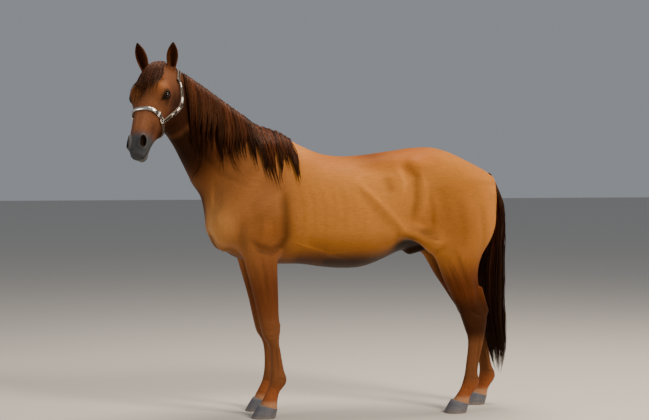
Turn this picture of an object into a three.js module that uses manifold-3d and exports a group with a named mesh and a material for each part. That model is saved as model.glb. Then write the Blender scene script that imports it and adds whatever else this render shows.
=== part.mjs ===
// A life-size standing horse: a chestnut stallion with its head turned to its left, in a leather halter.
// Millimetres, +Z up. It faces -X, its left side is -Y, and its hooves stand on z = 0.
// Every solid follows one implicit body: named masses (barrel, limbs, neck, head, muscles) that
// blend into each other. Rings of points are cast onto that body, and thin cuts part it into pieces.

import * as THREE from 'three';
import { mergeVertices } from 'three/addons/utils/BufferGeometryUtils.js';
import Module from 'manifold-3d';

const wasm = await Module();
wasm.setup();

// ---------------------------------------------------------------- driving dimensions

const gap = 0.4;                      // between pieces that touch
const cutMargin = 60;                 // how far a ring may pass a cut before the cut trims it

const foreTrack = 135;                // half the distance between the fore hooves
const hindTrack = 140;                // half the distance between the hind hooves
const foreSetBack = 8;                // the right fore stands this much behind the left one
const coronetHeight = 70;             // top of the hooves

const neckStart = [-470, -8, 1363];   // middle of the neck where it leaves the shoulders
const neckEnd = [-871, -275, 1766];   // middle of the neck behind the poll
const headTop = [-888, -277, 1858];   // forehead line at the poll
const headTurn = 30;                  // degrees between the head's heading and the horse's left
const headPitch = 39.5;               // degrees the face leans forward from vertical
const headRoll = 4;                   // degrees the muzzle swings back towards the body
const headLength = 565;

// ---------------------------------------------------------------- small vector helpers

const dot = (a, b) => a[0] * b[0] + a[1] * b[1] + a[2] * b[2];
const minus = (a, b) => [a[0] - b[0], a[1] - b[1], a[2] - b[2]];
const cross = (a, b) => [
  a[1] * b[2] - a[2] * b[1],
  a[2] * b[0] - a[0] * b[2],
  a[0] * b[1] - a[1] * b[0],
];
const unit = (a) => a.map((v) => v / Math.hypot(...a));
const along = (p, ...steps) => {
  const out = [...p];
  for (const [direction, distance] of steps) {
    out[0] += direction[0] * distance;
    out[1] += direction[1] * distance;
    out[2] += direction[2] * distance;
  }
  return out;
};
const clamp = (v, low, high) => Math.min(Math.max(v, low), high);
const mix = (a, b, t) => a + (b - a) * t;
const mixPoints = (a, b, t) => a.map((v, i) => mix(v, b[i], t));
const radians = (degrees) => degrees * Math.PI / 180;

// ---------------------------------------------------------------- the implicit masses

// Smooth curves through the columns of a table whose first column is the position.
function smoothTable(rows) {
  const sampleStep = 4;
  const first = rows[0][0];
  const last = rows[rows.length - 1][0];
  const columns = rows[0].length - 1;
  const slope = (i, c) => {
    const before = Math.max(i - 1, 0);
    const after = Math.min(i + 1, rows.length - 1);
    return (rows[after][c] - rows[before][c]) / (rows[after][0] - rows[before][0]);
  };
  const count = Math.ceil((last - first) / sampleStep) + 1;
  const samples = [];
  let row = 0;
  for (let k = 0; k < count; k += 1) {
    const t = Math.min(first + k * sampleStep, last);
    while (row < rows.length - 2 && t > rows[row + 1][0]) row += 1;
    const length = rows[row + 1][0] - rows[row][0];
    const u = (t - rows[row][0]) / length;
    const values = [];
    for (let c = 1; c <= columns; c += 1) {
      const a = rows[row][c];
      const b = rows[row + 1][c];
      const start = slope(row, c) * length;
      const end = slope(row + 1, c) * length;
      const cubic = 2 * (a - b) + start + end;
      const square = 3 * (b - a) - 2 * start - end;
      values.push(((cubic * u + square) * u + start) * u + a);
    }
    samples.push(values);
  }
  return (t) => {
    const k = clamp((t - first) / sampleStep, 0, count - 1.0001);
    const low = Math.floor(k);
    return samples[low].map((v, c) => mix(v, samples[low + 1][c], k - low));
  };
}

// A limb or trunk along a straight axis. Each row of the table is
// [position, front, back, widest, middle, halfWidth, frontPower, backPower]: where the outline stands
// in front and behind, at what depth it is widest, where its middle lies sideways, half its width,
// and how square the front and back halves of the section are.
function sweep({ origin, axis, front, rows, startCap, endCap }) {
  const side = cross(axis, front);
  const table = smoothTable(rows);
  const first = rows[0][0];
  const last = rows[rows.length - 1][0];
  return (x, y, z) => {
    const d = [x - origin[0], y - origin[1], z - origin[2]];
    const t = dot(d, axis);
    const held = clamp(t, first, last);
    const [ahead, behind, widest, middle, half, frontPower, backPower] = table(held);
    const p = dot(d, front) - widest;
    const q = dot(d, side) - middle;
    const reach = p > 0 ? ahead - widest : widest - behind;
    const power = p > 0 ? frontPower : backPower;
    const over = (t - held) / (t < first ? startCap : endCap);
    const ratio = ((Math.abs(p) / reach) ** power + (Math.abs(q) / half) ** power) ** (1 / power);
    const r = Math.hypot(ratio, over);
    const distance = Math.hypot(p, q, t - held);
    return r < 1e-5 ? -Math.min(reach, half) : distance * (1 - 1 / r);
  };
}

// An egg-shaped mass: its first radius lies along the long axis, its second along the flat axis.
function mass(centre, radii, long = [1, 0, 0], flat = [0, 1, 0]) {
  const a = unit(long);
  const c = unit(cross(a, flat));
  const b = cross(c, a);
  return (x, y, z) => {
    const d = [x - centre[0], y - centre[1], z - centre[2]];
    const local = [dot(d, a), dot(d, b), dot(d, c)];
    const near = Math.hypot(local[0] / radii[0], local[1] / radii[1], local[2] / radii[2]);
    const steep = Math.hypot(local[0] / radii[0] ** 2, local[1] / radii[1] ** 2, local[2] / radii[2] ** 2);
    return near < 1e-4 ? -Math.min(...radii) : near * (near - 1) / steep;
  };
}

// A rounded bar between two points, thicker at one end: a bone, tendon or long muscle.
function bar(from, to, fromRadius, toRadius) {
  const span = minus(to, from);
  const lengthSquared = dot(span, span);
  return (x, y, z) => {
    const d = [x - from[0], y - from[1], z - from[2]];
    const t = clamp(dot(d, span) / lengthSquared, 0, 1);
    const away = Math.hypot(d[0] - span[0] * t, d[1] - span[1] * t, d[2] - span[2] * t);
    return away - mix(fromRadius, toRadius, t);
  };
}

// Joins two distances with a soft blend about this wide.
function blend(a, b, width) {
  const h = Math.max(width - Math.abs(a - b), 0) / width;
  return Math.min(a, b) - h * h * width / 4;
}
// Joins a list of masses, each with how softly it blends, onto a distance already found.
const blendAll = (start, list, x, y, z) => list.reduce(
  (d, { shape, soft }) => blend(d, shape(x, y, z), soft), start);

// ---------------------------------------------------------------- trunk

const barrel = sweep({
  origin: [0, 0, 0], axis: [1, 0, 0], front: [0, 0, 1], startCap: 40, endCap: 26,
  rows: [
    [-572, 1225, 968, 1090, 0, 105, 2.0, 2.0],
    [-525, 1330, 892, 1080, 0, 160, 1.9, 2.1],
    [-460, 1410, 842, 1070, 0, 203, 1.7, 2.2],
    [-370, 1480, 815, 1065, 0, 222, 1.5, 2.3],
    [-270, 1508, 802, 1060, 0, 228, 1.35, 2.3],
    [-200, 1490, 799, 1065, 0, 236, 1.4, 2.2],
    [-100, 1437, 797, 1070, 0, 262, 1.6, 2.1],
    [10, 1393, 782, 1070, 0, 290, 1.85, 2.1],
    [120, 1379, 773, 1070, 0, 304, 2.0, 2.1],
    [230, 1385, 779, 1085, 0, 303, 2.0, 2.1],
    [330, 1396, 812, 1120, 0, 288, 2.0, 2.0],
    [430, 1410, 856, 1170, 0, 268, 2.05, 1.9],
    [540, 1426, 885, 1200, 0, 256, 2.1, 1.9],
    [640, 1423, 900, 1200, 0, 250, 2.0, 2.0],
    [760, 1380, 910, 1190, 0, 235, 1.9, 2.0],
    [860, 1333, 930, 1170, 0, 190, 1.9, 2.0],
    [925, 1298, 990, 1150, 0, 130, 1.9, 2.0],
    [962, 1272, 1070, 1170, 0, 62, 2.0, 2.0],
  ],
});

// Muscles and bones of the trunk, written for the right side (+Y) and used on both.
const foreMuscles = [
  { shape: bar([-285, 88, 1400], [-515, 150, 1020], 58, 62), soft: 90 },          // shoulder blade
  { shape: mass([-345, 165, 1040], [150, 72, 105], [0.75, 0, 0.66]), soft: 60 },  // triceps
  { shape: mass([-520, 140, 1000], [62, 58, 85], [1, 0.25, 0]), soft: 50 },       // point of shoulder
  { shape: mass([-528, 72, 985], [60, 74, 115], [1, 0, 0.15]), soft: 36 },        // breast
];
const hindMuscles = [
  { shape: mass([400, 105, 1320], [230, 95, 72], [1, 0, 0.08]), soft: 50 },       // loin
  { shape: mass([492, 212, 1318], [58, 46, 44], [1, 0.1, -0.25]), soft: 46 },     // point of hip
  { shape: mass([640, 128, 1262], [230, 132, 132], [1, 0.1, -0.3]), soft: 60 },   // rump
  { shape: mass([868, 100, 1165], [88, 82, 135], [1, 0, 0]), soft: 50 },          // buttock
  { shape: bar([420, 205, 985], [575, 186, 925], 30, 44), soft: 60 },             // fold of the flank
  { shape: bar([505, 0, 880], [590, 0, 905], 40, 42), soft: 30 },                 // sheath
];
const foreReach = -150;               // the fore muscles end in front of here
const hindReach = 150;                // and the hind ones begin behind here

function trunkDistance(x, y, z) {
  let d = barrel(x, y, z);
  if (x < foreReach) d = blendAll(d, foreMuscles, x, Math.abs(y), z);
  if (x > hindReach) d = blendAll(d, hindMuscles, x, Math.abs(y), z);
  return d;
}

// ---------------------------------------------------------------- limbs

// Rows are [height, front, back, widest, middle, halfWidth, frontPower, backPower], with front and
// back as positions towards the tail, for the left leg; the right one is mirrored and set back.
const foreRows = [
  [40, -340, -244, -290, foreTrack, 47, 2.1, 2.1],
  [66, -336, -243, -288, foreTrack, 45, 2.1, 2.1],
  [86, -329, -242, -284, foreTrack, 40, 2.1, 2.1],
  [110, -316, -238, -276, foreTrack, 33, 2.1, 2.1],
  [136, -303, -230, -266, foreTrack, 28, 2.1, 2.1],
  [163, -292, -210, -252, foreTrack + 1, 29, 2.1, 2.2],
  [190, -285, -195, -240, foreTrack + 1, 33, 2.1, 2.2],
  [214, -281, -196, -240, foreTrack + 2, 32, 2.1, 2.2],
  [245, -279, -206, -246, foreTrack + 2, 25, 2.1, 2.1],
  [300, -279, -217, -252, foreTrack + 3, 21, 2.1, 2.0],
  [352, -284, -226, -258, foreTrack + 4, 23, 2.2, 2.0],
  [388, -296, -233, -265, foreTrack + 4, 34, 2.4, 2.1],
  [425, -319, -233, -278, foreTrack + 5, 44, 2.6, 2.2],
  [462, -331, -228, -282, foreTrack + 5, 46, 2.6, 2.2],
  [500, -340, -232, -286, foreTrack + 6, 43, 2.4, 2.2],
  [545, -350, -236, -293, foreTrack + 8, 40, 2.1, 2.1],
  [610, -364, -238, -300, foreTrack + 10, 44, 2.1, 2.1],
  [700, -389, -241, -312, foreTrack + 16, 53, 2.1, 2.1],
  [790, -416, -243, -325, foreTrack + 24, 61, 2.1, 2.1],
  [880, -442, -240, -335, foreTrack + 30, 66, 2.1, 2.1],
  [980, -462, -236, -345, foreTrack + 34, 66, 2.0, 2.0],
];
const hindRows = [
  [40, 698, 796, 748, hindTrack, 44, 2.1, 2.1],
  [62, 706, 800, 755, hindTrack, 42, 2.1, 2.1],
  [82, 721, 806, 765, hindTrack, 36, 2.1, 2.1],
  [104, 737, 820, 780, hindTrack, 31, 2.1, 2.1],
  [127, 750, 840, 796, hindTrack, 30, 2.1, 2.2],
  [151, 760, 853, 806, hindTrack, 33, 2.1, 2.2],
  [178, 768, 855, 812, hindTrack, 34, 2.1, 2.2],
  [210, 775, 848, 813, hindTrack + 1, 27, 2.1, 2.1],
  [285, 784, 856, 823, hindTrack + 2, 22, 2.1, 2.0],
  [350, 791, 872, 835, hindTrack + 3, 24, 2.1, 2.0],
  [405, 789, 884, 838, hindTrack + 4, 31, 2.2, 1.9],
  [455, 772, 893, 830, hindTrack + 4, 42, 2.3, 1.8],
  [505, 757, 898, 820, hindTrack + 4, 44, 2.3, 1.8],
  [545, 742, 896, 806, hindTrack + 5, 41, 2.2, 1.7],
  [600, 711, 875, 779, hindTrack + 8, 42, 2.1, 1.7],
  [660, 680, 856, 760, hindTrack + 13, 52, 2.1, 1.9],
  [725, 647, 843, 745, hindTrack + 18, 62, 2.1, 2.0],
  [790, 620, 848, 735, hindTrack + 21, 72, 2.0, 2.1],
  [870, 585, 876, 733, hindTrack + 20, 84, 2.0, 2.1],
  [950, 555, 912, 738, hindTrack + 16, 95, 2.0, 2.1],
  [1040, 548, 938, 745, hindTrack + 10, 106, 2.0, 2.1],
  [1140, 560, 940, 752, hindTrack, 110, 2.0, 2.1],
  [1230, 590, 915, 758, hindTrack - 10, 100, 2.0, 2.0],
];
// A vertical leg's front is towards -X, and its side axis then points to -Y for the left leg.
const flipRows = (rows, mirrored) => rows.map(([t, front, back, widest, middle, half, fp, bp]) => (
  [t, -front, -back, -widest, mirrored ? -middle : middle, half, fp, bp]));
const uprightLeg = (rows, mirrored, startCap, endCap) => sweep({
  origin: [0, 0, 0], axis: [0, 0, 1], front: [-1, 0, 0], startCap, endCap,
  rows: flipRows(rows, mirrored),
});
const foreSweep = { left: uprightLeg(foreRows, false, 8, 60), right: uprightLeg(foreRows, true, 8, 60) };
const hindSweep = { left: uprightLeg(hindRows, false, 8, 60), right: uprightLeg(hindRows, true, 8, 60) };

// The right hind leg stands further back: how far, by height.
const hindStance = smoothTable([
  [0, 188], [100, 181], [200, 166], [350, 118], [500, 70], [560, 60], [650, 49], [820, 20], [1000, 0],
  [1240, 0],
]);
const setBack = (pair, side, z) => {
  if (side === 'left') return 0;
  return pair === 'fore' ? foreSetBack : hindStance(z)[0];
};

// Heights of a leg's rings, closer together at the joints.
const legLevels = {
  fore: [52, 78, 104, 135, 165, 195, 232, 300, 352, 388, 425, 462, 500, 545, 620, 700, 780, 868],
  hind: [52, 78, 100, 125, 152, 182, 218, 290, 360, 410, 455, 500, 532, 565, 620, 690, 770, 855, 935],
};

const hindLegMuscles = [
  { shape: mass([612, 178, 935], [62, 58, 80], [0.9, 0, -0.4]), soft: 50 },       // stifle
  { shape: mass([760, 168, 1040], [150, 98, 170], [0.8, 0, 0.6]), soft: 60 },     // thigh
  { shape: mass([735, 176, 770], [62, 48, 110], [1, 0, 0]), soft: 30 },           // gaskin
  { shape: bar([858, 150, 665], [890, hindTrack + 4, 545], 14, 17), soft: 18 },   // hock tendon
];

function foreDistance(side, x, y, z) {
  return foreSweep[side](x - setBack('fore', side, z), y, z);
}

function hindDistance(side, x, y, z) {
  const shifted = x - setBack('hind', side, z);
  const outward = side === 'left' ? -y : y;
  return blendAll(hindSweep[side](shifted, y, z), hindLegMuscles, shifted, outward, z);
}

// ---------------------------------------------------------------- neck

const neckAxis = unit(minus(neckEnd, neckStart));
const neckCrest = unit(along([0, 0, 1], [neckAxis, -neckAxis[2]]));
const neckRight = cross(neckAxis, neckCrest);
const neckRows = [
  [-190, 150, -220, -40, -84, 165, 1.7, 2.1],
  [-90, 184, -224, -40, -36, 158, 1.6, 2.1],
  [0, 208, -222, -38, 6, 138, 1.6, 2.1],
  [100, 208, -212, -36, 20, 108, 1.6, 2.1],
  [210, 203, -198, -34, 28, 88, 1.6, 2.2],
  [320, 192, -183, -32, 26, 78, 1.6, 2.2],
  [430, 165, -172, -28, 20, 70, 1.7, 2.2],
  [530, 134, -166, -20, 10, 64, 1.9, 2.2],
  [600, 105, -155, -12, 4, 56, 2.0, 2.2],
];
const neck = sweep({
  origin: neckStart, axis: neckAxis, front: neckCrest, startCap: 60, endCap: 50, rows: neckRows,
});
const neckMiddle = smoothTable(neckRows.map((row) => [row[0], row[4]]));
// The neck turns to the left as it rises: near the shoulders its sections still lean the other way,
// sideways per unit of height, so that the crest starts over the withers.
const neckLean = smoothTable([[-200, -0.43], [-60, -0.42], [60, -0.32], [200, -0.12], [330, 0], [620, 0]]);

function neckDistance(x, y, z) {
  const d = minus([x, y, z], neckStart);
  const shift = neckLean(dot(d, neckAxis))[0] * dot(d, neckCrest);
  return neck(...along([x, y, z], [neckRight, -shift]));
}

// ---------------------------------------------------------------- head

const turn = radians(headTurn);
const pitch = radians(headPitch);
const heading = [-Math.sin(turn), -Math.cos(turn), 0];
const rollHead = (v) => {
  const roll = radians(headRoll);
  return along(v.map((c) => c * Math.cos(roll)), [cross(heading, v), Math.sin(roll)],
    [heading, dot(heading, v) * (1 - Math.cos(roll))]);
};
const faceDown = rollHead(along([0, 0, -Math.cos(pitch)], [heading, Math.sin(pitch)]));
const faceOut = rollHead(along([0, 0, Math.sin(pitch)], [heading, Math.cos(pitch)]));
const headLeft = rollHead([Math.cos(turn), -Math.sin(turn), 0]);
// A point of the head: distance down the face, towards the left, and out of the face line.
const headPoint = (down, left, out) => along(headTop, [faceDown, down], [headLeft, left], [faceOut, out]);

const skull = sweep({
  origin: headTop, axis: faceDown, front: faceOut, startCap: 26, endCap: 14,
  rows: [
    [-6, -14, -120, -60, 0, 60, 2.2, 2.0],
    [38, 4, -165, -62, 0, 80, 2.3, 2.0],
    [85, 12, -215, -62, 0, 92, 2.4, 1.9],
    [135, 16, -250, -62, 0, 96, 2.5, 1.8],
    [190, 16, -266, -58, 0, 90, 2.6, 1.7],
    [240, 10, -262, -56, 0, 83, 2.6, 1.7],
    [290, 5, -240, -58, 0, 74, 2.5, 1.8],
    [343, 1, -206, -60, 0, 65, 2.4, 1.9],
    [395, -2, -173, -60, 0, 58, 2.3, 2.0],
    [447, -4, -150, -60, 0, 53, 2.3, 2.1],
    [495, -10, -137, -62, 0, 50, 2.3, 2.2],
    [532, -24, -130, -68, 0, 46, 2.2, 2.2],
    [558, -44, -116, -78, 0, 37, 2.1, 2.1],
  ],
});
// Masses of the head in [down, left, out], used on both sides.
const headMasses = [
  { shape: mass([198, 68, -22], [52, 36, 36], [1, 0.1, -0.1]), soft: 34 },        // brow
  { shape: mass([172, 46, -160], [100, 35, 88], [1, -0.08, 0.1]), soft: 30 },     // cheek
  { shape: bar([205, 84, -48], [325, 56, -62], 15, 9), soft: 20 },                // cheek bone
  { shape: mass([506, 36, -36], [37, 17, 30], [1, 0.1, -0.4]), soft: 16 },        // nostril
  { shape: mass([530, 0, -124], [28, 27, 23]), soft: 18 },                        // chin
];

function headDistance(x, y, z) {
  const d = [x - headTop[0], y - headTop[1], z - headTop[2]];
  const place = [dot(d, faceDown), Math.abs(dot(d, headLeft)), dot(d, faceOut)];
  return blendAll(skull(x, y, z), headMasses, ...place);
}

// ---------------------------------------------------------------- the whole body

// How softly the limbs, the neck and the head flow into the rest.
const softJoins = { fore: 46, hind: 50, neck: 90, head: 50 };

function bodyDistance(x, y, z) {
  const nearFore = x < -100 && z < 1250;
  const nearNeck = x < -100 && z > 900;
  const nearHead = x < -100 && z > 1250;
  const nearHind = x > 350 && z < 1420;
  let d = trunkDistance(x, y, z);
  for (const side of ['left', 'right']) {
    if (nearFore) d = blend(d, foreDistance(side, x, y, z), softJoins.fore);
  }
  if (nearNeck) d = blend(d, neckDistance(x, y, z), softJoins.neck);
  if (nearHead) d = blend(d, headDistance(x, y, z), softJoins.head);
  for (const side of ['left', 'right']) {
    if (nearHind) d = blend(d, hindDistance(side, x, y, z), softJoins.hind);
  }
  return d;
}

// ---------------------------------------------------------------- cuts between the pieces

// A cut is a plane through a point; its normal points away from the trunk.
const cut = (point, normal) => ({ point, normal: unit(normal) });
const pastCut = (plane, x, y, z) => dot([x - plane.point[0], y - plane.point[1], z - plane.point[2]],
  plane.normal);

const neckCut = cut([-478, 0, 1352], [-0.771, 0, 0.639]);
const throatCut = (() => {
  const behindPoll = headPoint(-20, 0, -92);
  const behindJaw = headPoint(300, 0, -345);
  const across = minus(behindJaw, behindPoll);
  return cut(behindPoll, cross(headLeft, across).map((v) => -v));
})();
const sideSign = { left: -1, right: 1 };
const foreTopCut = (side) => cut([0, 25 * sideSign[side], 826], [0, 0.53 * sideSign[side], -0.85]);
const hindTopCut = (side) => cut([600, 48 * sideSign[side], 884], [0.13, 0.42 * sideSign[side], -0.88]);
const hindFrontCut = cut([506, 0, 960], [0.99, 0, 0.12]);
const foreBackCut = cut([-214, 0, 880], [-1, 0, -0.06]);
const innerCut = (side, y) => cut([0, y * sideSign[side], 0], [0, sideSign[side], 0]);

const legCuts = {
  fore: {
    left: [foreTopCut('left'), foreBackCut, innerCut('left', 18)],
    right: [foreTopCut('right'), foreBackCut, innerCut('right', 18)],
  },
  hind: {
    left: [hindTopCut('left'), hindFrontCut, innerCut('left', 46)],
    right: [hindTopCut('right'), hindFrontCut, innerCut('right', 46)],
  },
};
// How deep a point lies inside a leg's region; negative outside it.
const insideLeg = (cuts, x, y, z) => Math.min(...cuts.map((plane) => pastCut(plane, x, y, z)));

// ---------------------------------------------------------------- meshes cast onto the body

// How far along a direction the surface lies, from a point inside it.
function castOut(surface, from, direction) {
  const farthest = 900;
  let inside = 0;
  let reach = 2;
  while (reach < farthest) {
    const p = along(from, [direction, reach]);
    const d = surface(...p);
    if (d > 0) break;
    inside = reach;
    reach += Math.max(-d * 0.6, 2.5);
  }
  for (let i = 0; i < 14; i += 1) {
    const middle = (inside + reach) / 2;
    if (surface(...along(from, [direction, middle])) > 0) reach = middle;
    else inside = middle;
  }
  return inside;
}

// A ring looks out from its centre across its axis, or leans along the axis by some degrees.
const ring = (centre, axis, up, lean = 0) => {
  const n = unit(axis);
  const u = unit(along(up, [n, -dot(up, n)]));
  return { centre, n, u, v: cross(n, u), lean: radians(lean) };
};

function castRings(surface, rings, count) {
  const points = [];
  for (const { centre, n, u, v, lean } of rings) {
    const atPole = Math.abs(lean) > 1.5;
    for (let j = 0; j < (atPole ? 1 : count); j += 1) {
      const angle = 2 * Math.PI * j / count;
      const across = Math.cos(lean);
      const direction = along([0, 0, 0], [u, Math.cos(angle) * across], [v, Math.sin(angle) * across],
        [n, Math.sin(lean)]);
      points.push(along(centre, [direction, castOut(surface, centre, direction)]));
    }
  }
  return points;
}

// Skins rings of points, closed at both ends: the first and the last ring are single points.
function skinRings(points, count) {
  const ringCount = (points.length - 2) / count;
  const faces = [];
  const at = (i, j) => 1 + i * count + (j % count);
  const last = points.length - 1;
  for (let j = 0; j < count; j += 1) {
    faces.push([0, at(0, j + 1), at(0, j)]);
    faces.push([last, at(ringCount - 1, j), at(ringCount - 1, j + 1)]);
  }
  for (let i = 0; i < ringCount - 1; i += 1) {
    for (let j = 0; j < count; j += 1) {
      const [a, b, c, d] = [at(i, j), at(i, j + 1), at(i + 1, j + 1), at(i + 1, j)];
      const straight = Math.hypot(...minus(points[a], points[c]));
      const other = Math.hypot(...minus(points[b], points[d]));
      if (straight < other) faces.push([a, b, c], [a, c, d]);
      else faces.push([a, b, d], [b, c, d]);
    }
  }
  return facesGeometry(points, faces);
}

// A geometry from points and faces, turned so that its faces point out.
function facesGeometry(points, faces) {
  let volume = 0;
  for (const [a, b, c] of faces) volume += dot(points[a], cross(points[b], points[c]));
  const turned = volume > 0 ? faces : faces.map(([a, b, c]) => [a, c, b]);
  const geometry = new THREE.BufferGeometry();
  geometry.setAttribute('position', new THREE.Float32BufferAttribute(points.flat(), 3));
  geometry.setIndex(turned.flat());
  return geometry;
}

// ---------------------------------------------------------------- cutting and joining

function solid(geometry) {
  const bare = geometry.clone();
  bare.deleteAttribute('normal');
  bare.deleteAttribute('uv');
  const merged = mergeVertices(bare, 1e-3);
  const mesh = new wasm.Mesh({
    numProp: 3,
    vertProperties: new Float32Array(merged.attributes.position.array),
    triVerts: new Uint32Array(merged.index.array),
  });
  return new wasm.Manifold(mesh);
}

function solidGeometry(body) {
  const mesh = body.getMesh();
  const geometry = new THREE.BufferGeometry();
  geometry.setAttribute('position', new THREE.Float32BufferAttribute(mesh.vertProperties, 3));
  geometry.setIndex([...mesh.triVerts]);
  return geometry;
}

// The half of space past a cut, moved along the cut's normal.
function halfSpace(plane, shift) {
  const size = 5000;
  const geometry = new THREE.BoxGeometry(size, size, size);
  geometry.translate(0, 0, size / 2 + shift);
  const turnTo = new THREE.Quaternion().setFromUnitVectors(
    new THREE.Vector3(0, 0, 1), new THREE.Vector3(...plane.normal));
  geometry.applyQuaternion(turnTo);
  geometry.translate(...plane.point);
  return solid(geometry);
}
const within = (body, planes) => planes.reduce(
  (left, plane) => left.intersect(halfSpace(plane, gap / 2)), body);
const without = (body, planes) => {
  const [first, ...others] = planes;
  const region = others.reduce(
    (whole, plane) => whole.intersect(halfSpace(plane, -gap / 2)), halfSpace(first, -gap / 2));
  return body.subtract(region);
};

// ---------------------------------------------------------------- the flesh

const allLegCuts = [legCuts.fore.left, legCuts.fore.right, legCuts.hind.left, legCuts.hind.right];

// Each of these makes its piece of the body, or, with a swell, the same piece that much fatter, which
// cuts what lies on the body so that a thin gap is left.
function trunkSolid(swell = 0) {
  const surface = (x, y, z) => {
    let clip = pastCut(neckCut, x, y, z);
    for (const cuts of allLegCuts) clip = Math.max(clip, insideLeg(cuts, x, y, z));
    return Math.max(bodyDistance(x, y, z) - swell, clip - cutMargin);
  };
  const count = 22;
  const spine = smoothTable([
    [-560, 1085], [-400, 1100], [-200, 1110], [0, 1085], [200, 1085], [400, 1130], [600, 1170],
    [880, 1175],
  ]);
  const front = -540;
  const back = 868;
  const ringCount = 24;
  const centreAt = (x) => [x, 0, spine(x)[0]];
  const ringAt = (x, lean) => ring(centreAt(x), [1, 0, 0], [0, 0, 1], lean);
  const rings = [-90, -72, -52, -32, -15].map((lean) => ringAt(front, lean));
  for (let i = 0; i <= ringCount; i += 1) rings.push(ringAt(mix(front, back, i / ringCount), 0));
  for (const lean of [15, 32, 52, 72, 90]) rings.push(ringAt(back, lean));
  let body = solid(skinRings(castRings(surface, rings, count), count));
  if (swell > 0) return body;
  body = body.subtract(halfSpace(neckCut, -gap / 2));
  for (const cuts of allLegCuts) body = without(body, cuts);
  return body;
}

function neckSolid(swell = 0) {
  const surface = (x, y, z) => Math.max(bodyDistance(x, y, z) - swell,
    -pastCut(neckCut, x, y, z) - cutMargin, pastCut(throatCut, x, y, z) - cutMargin);
  const count = 20;
  const start = 60;
  const end = 500;
  const ringCount = 9;
  const centreAt = (s) => along(neckStart, [neckAxis, s], [neckRight, 18], [neckCrest, -10]);
  const rings = [-90, -52, -30, -14].map((lean) => ring(centreAt(start), neckAxis, neckCrest, lean));
  for (let i = 0; i <= ringCount; i += 1) {
    rings.push(ring(centreAt(mix(start, end, i / ringCount)), neckAxis, neckCrest));
  }
  for (const lean of [22, 48, 90]) rings.push(ring(centreAt(end), neckAxis, neckCrest, lean));
  const body = solid(skinRings(castRings(surface, rings, count), count));
  if (swell > 0) return body;
  return body.intersect(halfSpace(neckCut, gap / 2)).subtract(halfSpace(throatCut, -gap / 2));
}

function headSolid(swell = 0) {
  const surface = (x, y, z) => Math.max(bodyDistance(x, y, z) - swell,
    -pastCut(throatCut, x, y, z) - cutMargin);
  const count = 20;
  const start = 35;
  const end = 525;
  const ringCount = 15;
  const centreAt = (down) => headPoint(down, 0, mix(-62, -78, down / headLength));
  const rings = [-90, -66, -44, -22].map((lean) => ring(centreAt(start), faceDown, faceOut, lean));
  for (let i = 0; i <= ringCount; i += 1) {
    rings.push(ring(centreAt(mix(start, end, i / ringCount)), faceDown, faceOut));
  }
  for (const lean of [22, 44, 66, 90]) rings.push(ring(centreAt(end), faceDown, faceOut, lean));
  const body = solid(skinRings(castRings(surface, rings, count), count));
  return swell > 0 ? body : body.intersect(halfSpace(throatCut, gap / 2));
}

// A leg's rings lie level at the hoof and lean over to the slanted cut at the top.
function legSolid(pair, side) {
  const cuts = legCuts[pair][side];
  const surface = (x, y, z) => Math.max(bodyDistance(x, y, z), -insideLeg(cuts, x, y, z) - cutMargin);
  const count = 12;
  const table = smoothTable(pair === 'fore' ? foreRows : hindRows);
  const top = pair === 'fore' ? 868 : 935;
  const topAxis = cuts[0].normal.map((v) => -v);
  const levelBelow = 640;
  const rings = legLevels[pair].map((z) => {
    const axis = unit(mixPoints([0, 0, 1], topAxis, clamp((z - levelBelow) / (top - levelBelow), 0, 1)));
    const row = table(z);
    const centre = [(row[0] + row[1]) / 2 + setBack(pair, side, z), sideSign[side] * row[3], z];
    return ring(centre, axis, [-1, 0, 0]);
  });
  const lowest = rings[0];
  const highest = rings[rings.length - 1];
  rings.unshift({ ...lowest, lean: radians(-90) }, { ...lowest, lean: radians(-45) });
  for (const lean of [25, 50, 90]) rings.push({ ...highest, lean: radians(lean) });
  const body = solid(skinRings(castRings(surface, rings, count), count));
  return within(body, cuts).intersect(halfSpace(hoofTopCut(pair, side), gap / 2));
}

// ---------------------------------------------------------------- hooves

// Outlines in mm from the front of the horse: the toe and heel of the ground edge and of the coronet.
const hooves = {
  fore: { toe: -385, heel: -254, top: [-339, -243], groundHalf: 62, topHalf: 48, middle: -290 },
  hind: { toe: 660, heel: 784, top: [703, 798], groundHalf: 57, topHalf: 44, middle: 750 },
};

// The coronet slopes down towards the heel.
function hoofTopCut(pair, side) {
  return cut([hooves[pair].middle + setBack(pair, side, coronetHeight), 0, coronetHeight - 10], [0.3, 0, 1]);
}

function hoofSolid(pair, side) {
  const { toe, heel, top, groundHalf, topHalf } = hooves[pair];
  const count = 14;
  const shift = setBack(pair, side, coronetHeight);
  const middle = sideSign[side] * (pair === 'fore' ? foreTrack : hindTrack);
  // One outline, at a share of the way up: flat under the heel, round at the toe.
  const outline = (share, inset, z) => {
    const front = mix(toe, top[0], share) + inset;
    const back = mix(heel, top[1], share) - inset;
    const half = mix(groundHalf, topHalf, share) - inset;
    const points = [];
    for (let j = 0; j < count; j += 1) {
      const angle = 2 * Math.PI * j / count;
      const c = Math.cos(angle);
      const x = (front + back) / 2 - (back - front) / 2 * Math.sign(c) * Math.abs(c) ** 0.85;
      points.push([x + shift, middle + half * Math.sin(angle), z]);
    }
    return points;
  };
  const centre = (points) => mixPoints(points[0], points[count / 2], 0.5);
  const bottom = outline(0, 4, 0);
  const above = outline((coronetHeight + 30) / coronetHeight, 0, coronetHeight + 30);
  const rings = [bottom, outline(0, 0, 5), above];
  const points = [centre(bottom), ...rings.flat(), centre(above)];
  return solid(skinRings(points, count)).subtract(halfSpace(hoofTopCut(pair, side), -gap / 2));
}

// ---------------------------------------------------------------- eyes and ears

const eyeRadius = 22.5;
const eyePlace = (side) => headPoint(212, -88 * sideSign[side], -35);

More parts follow.
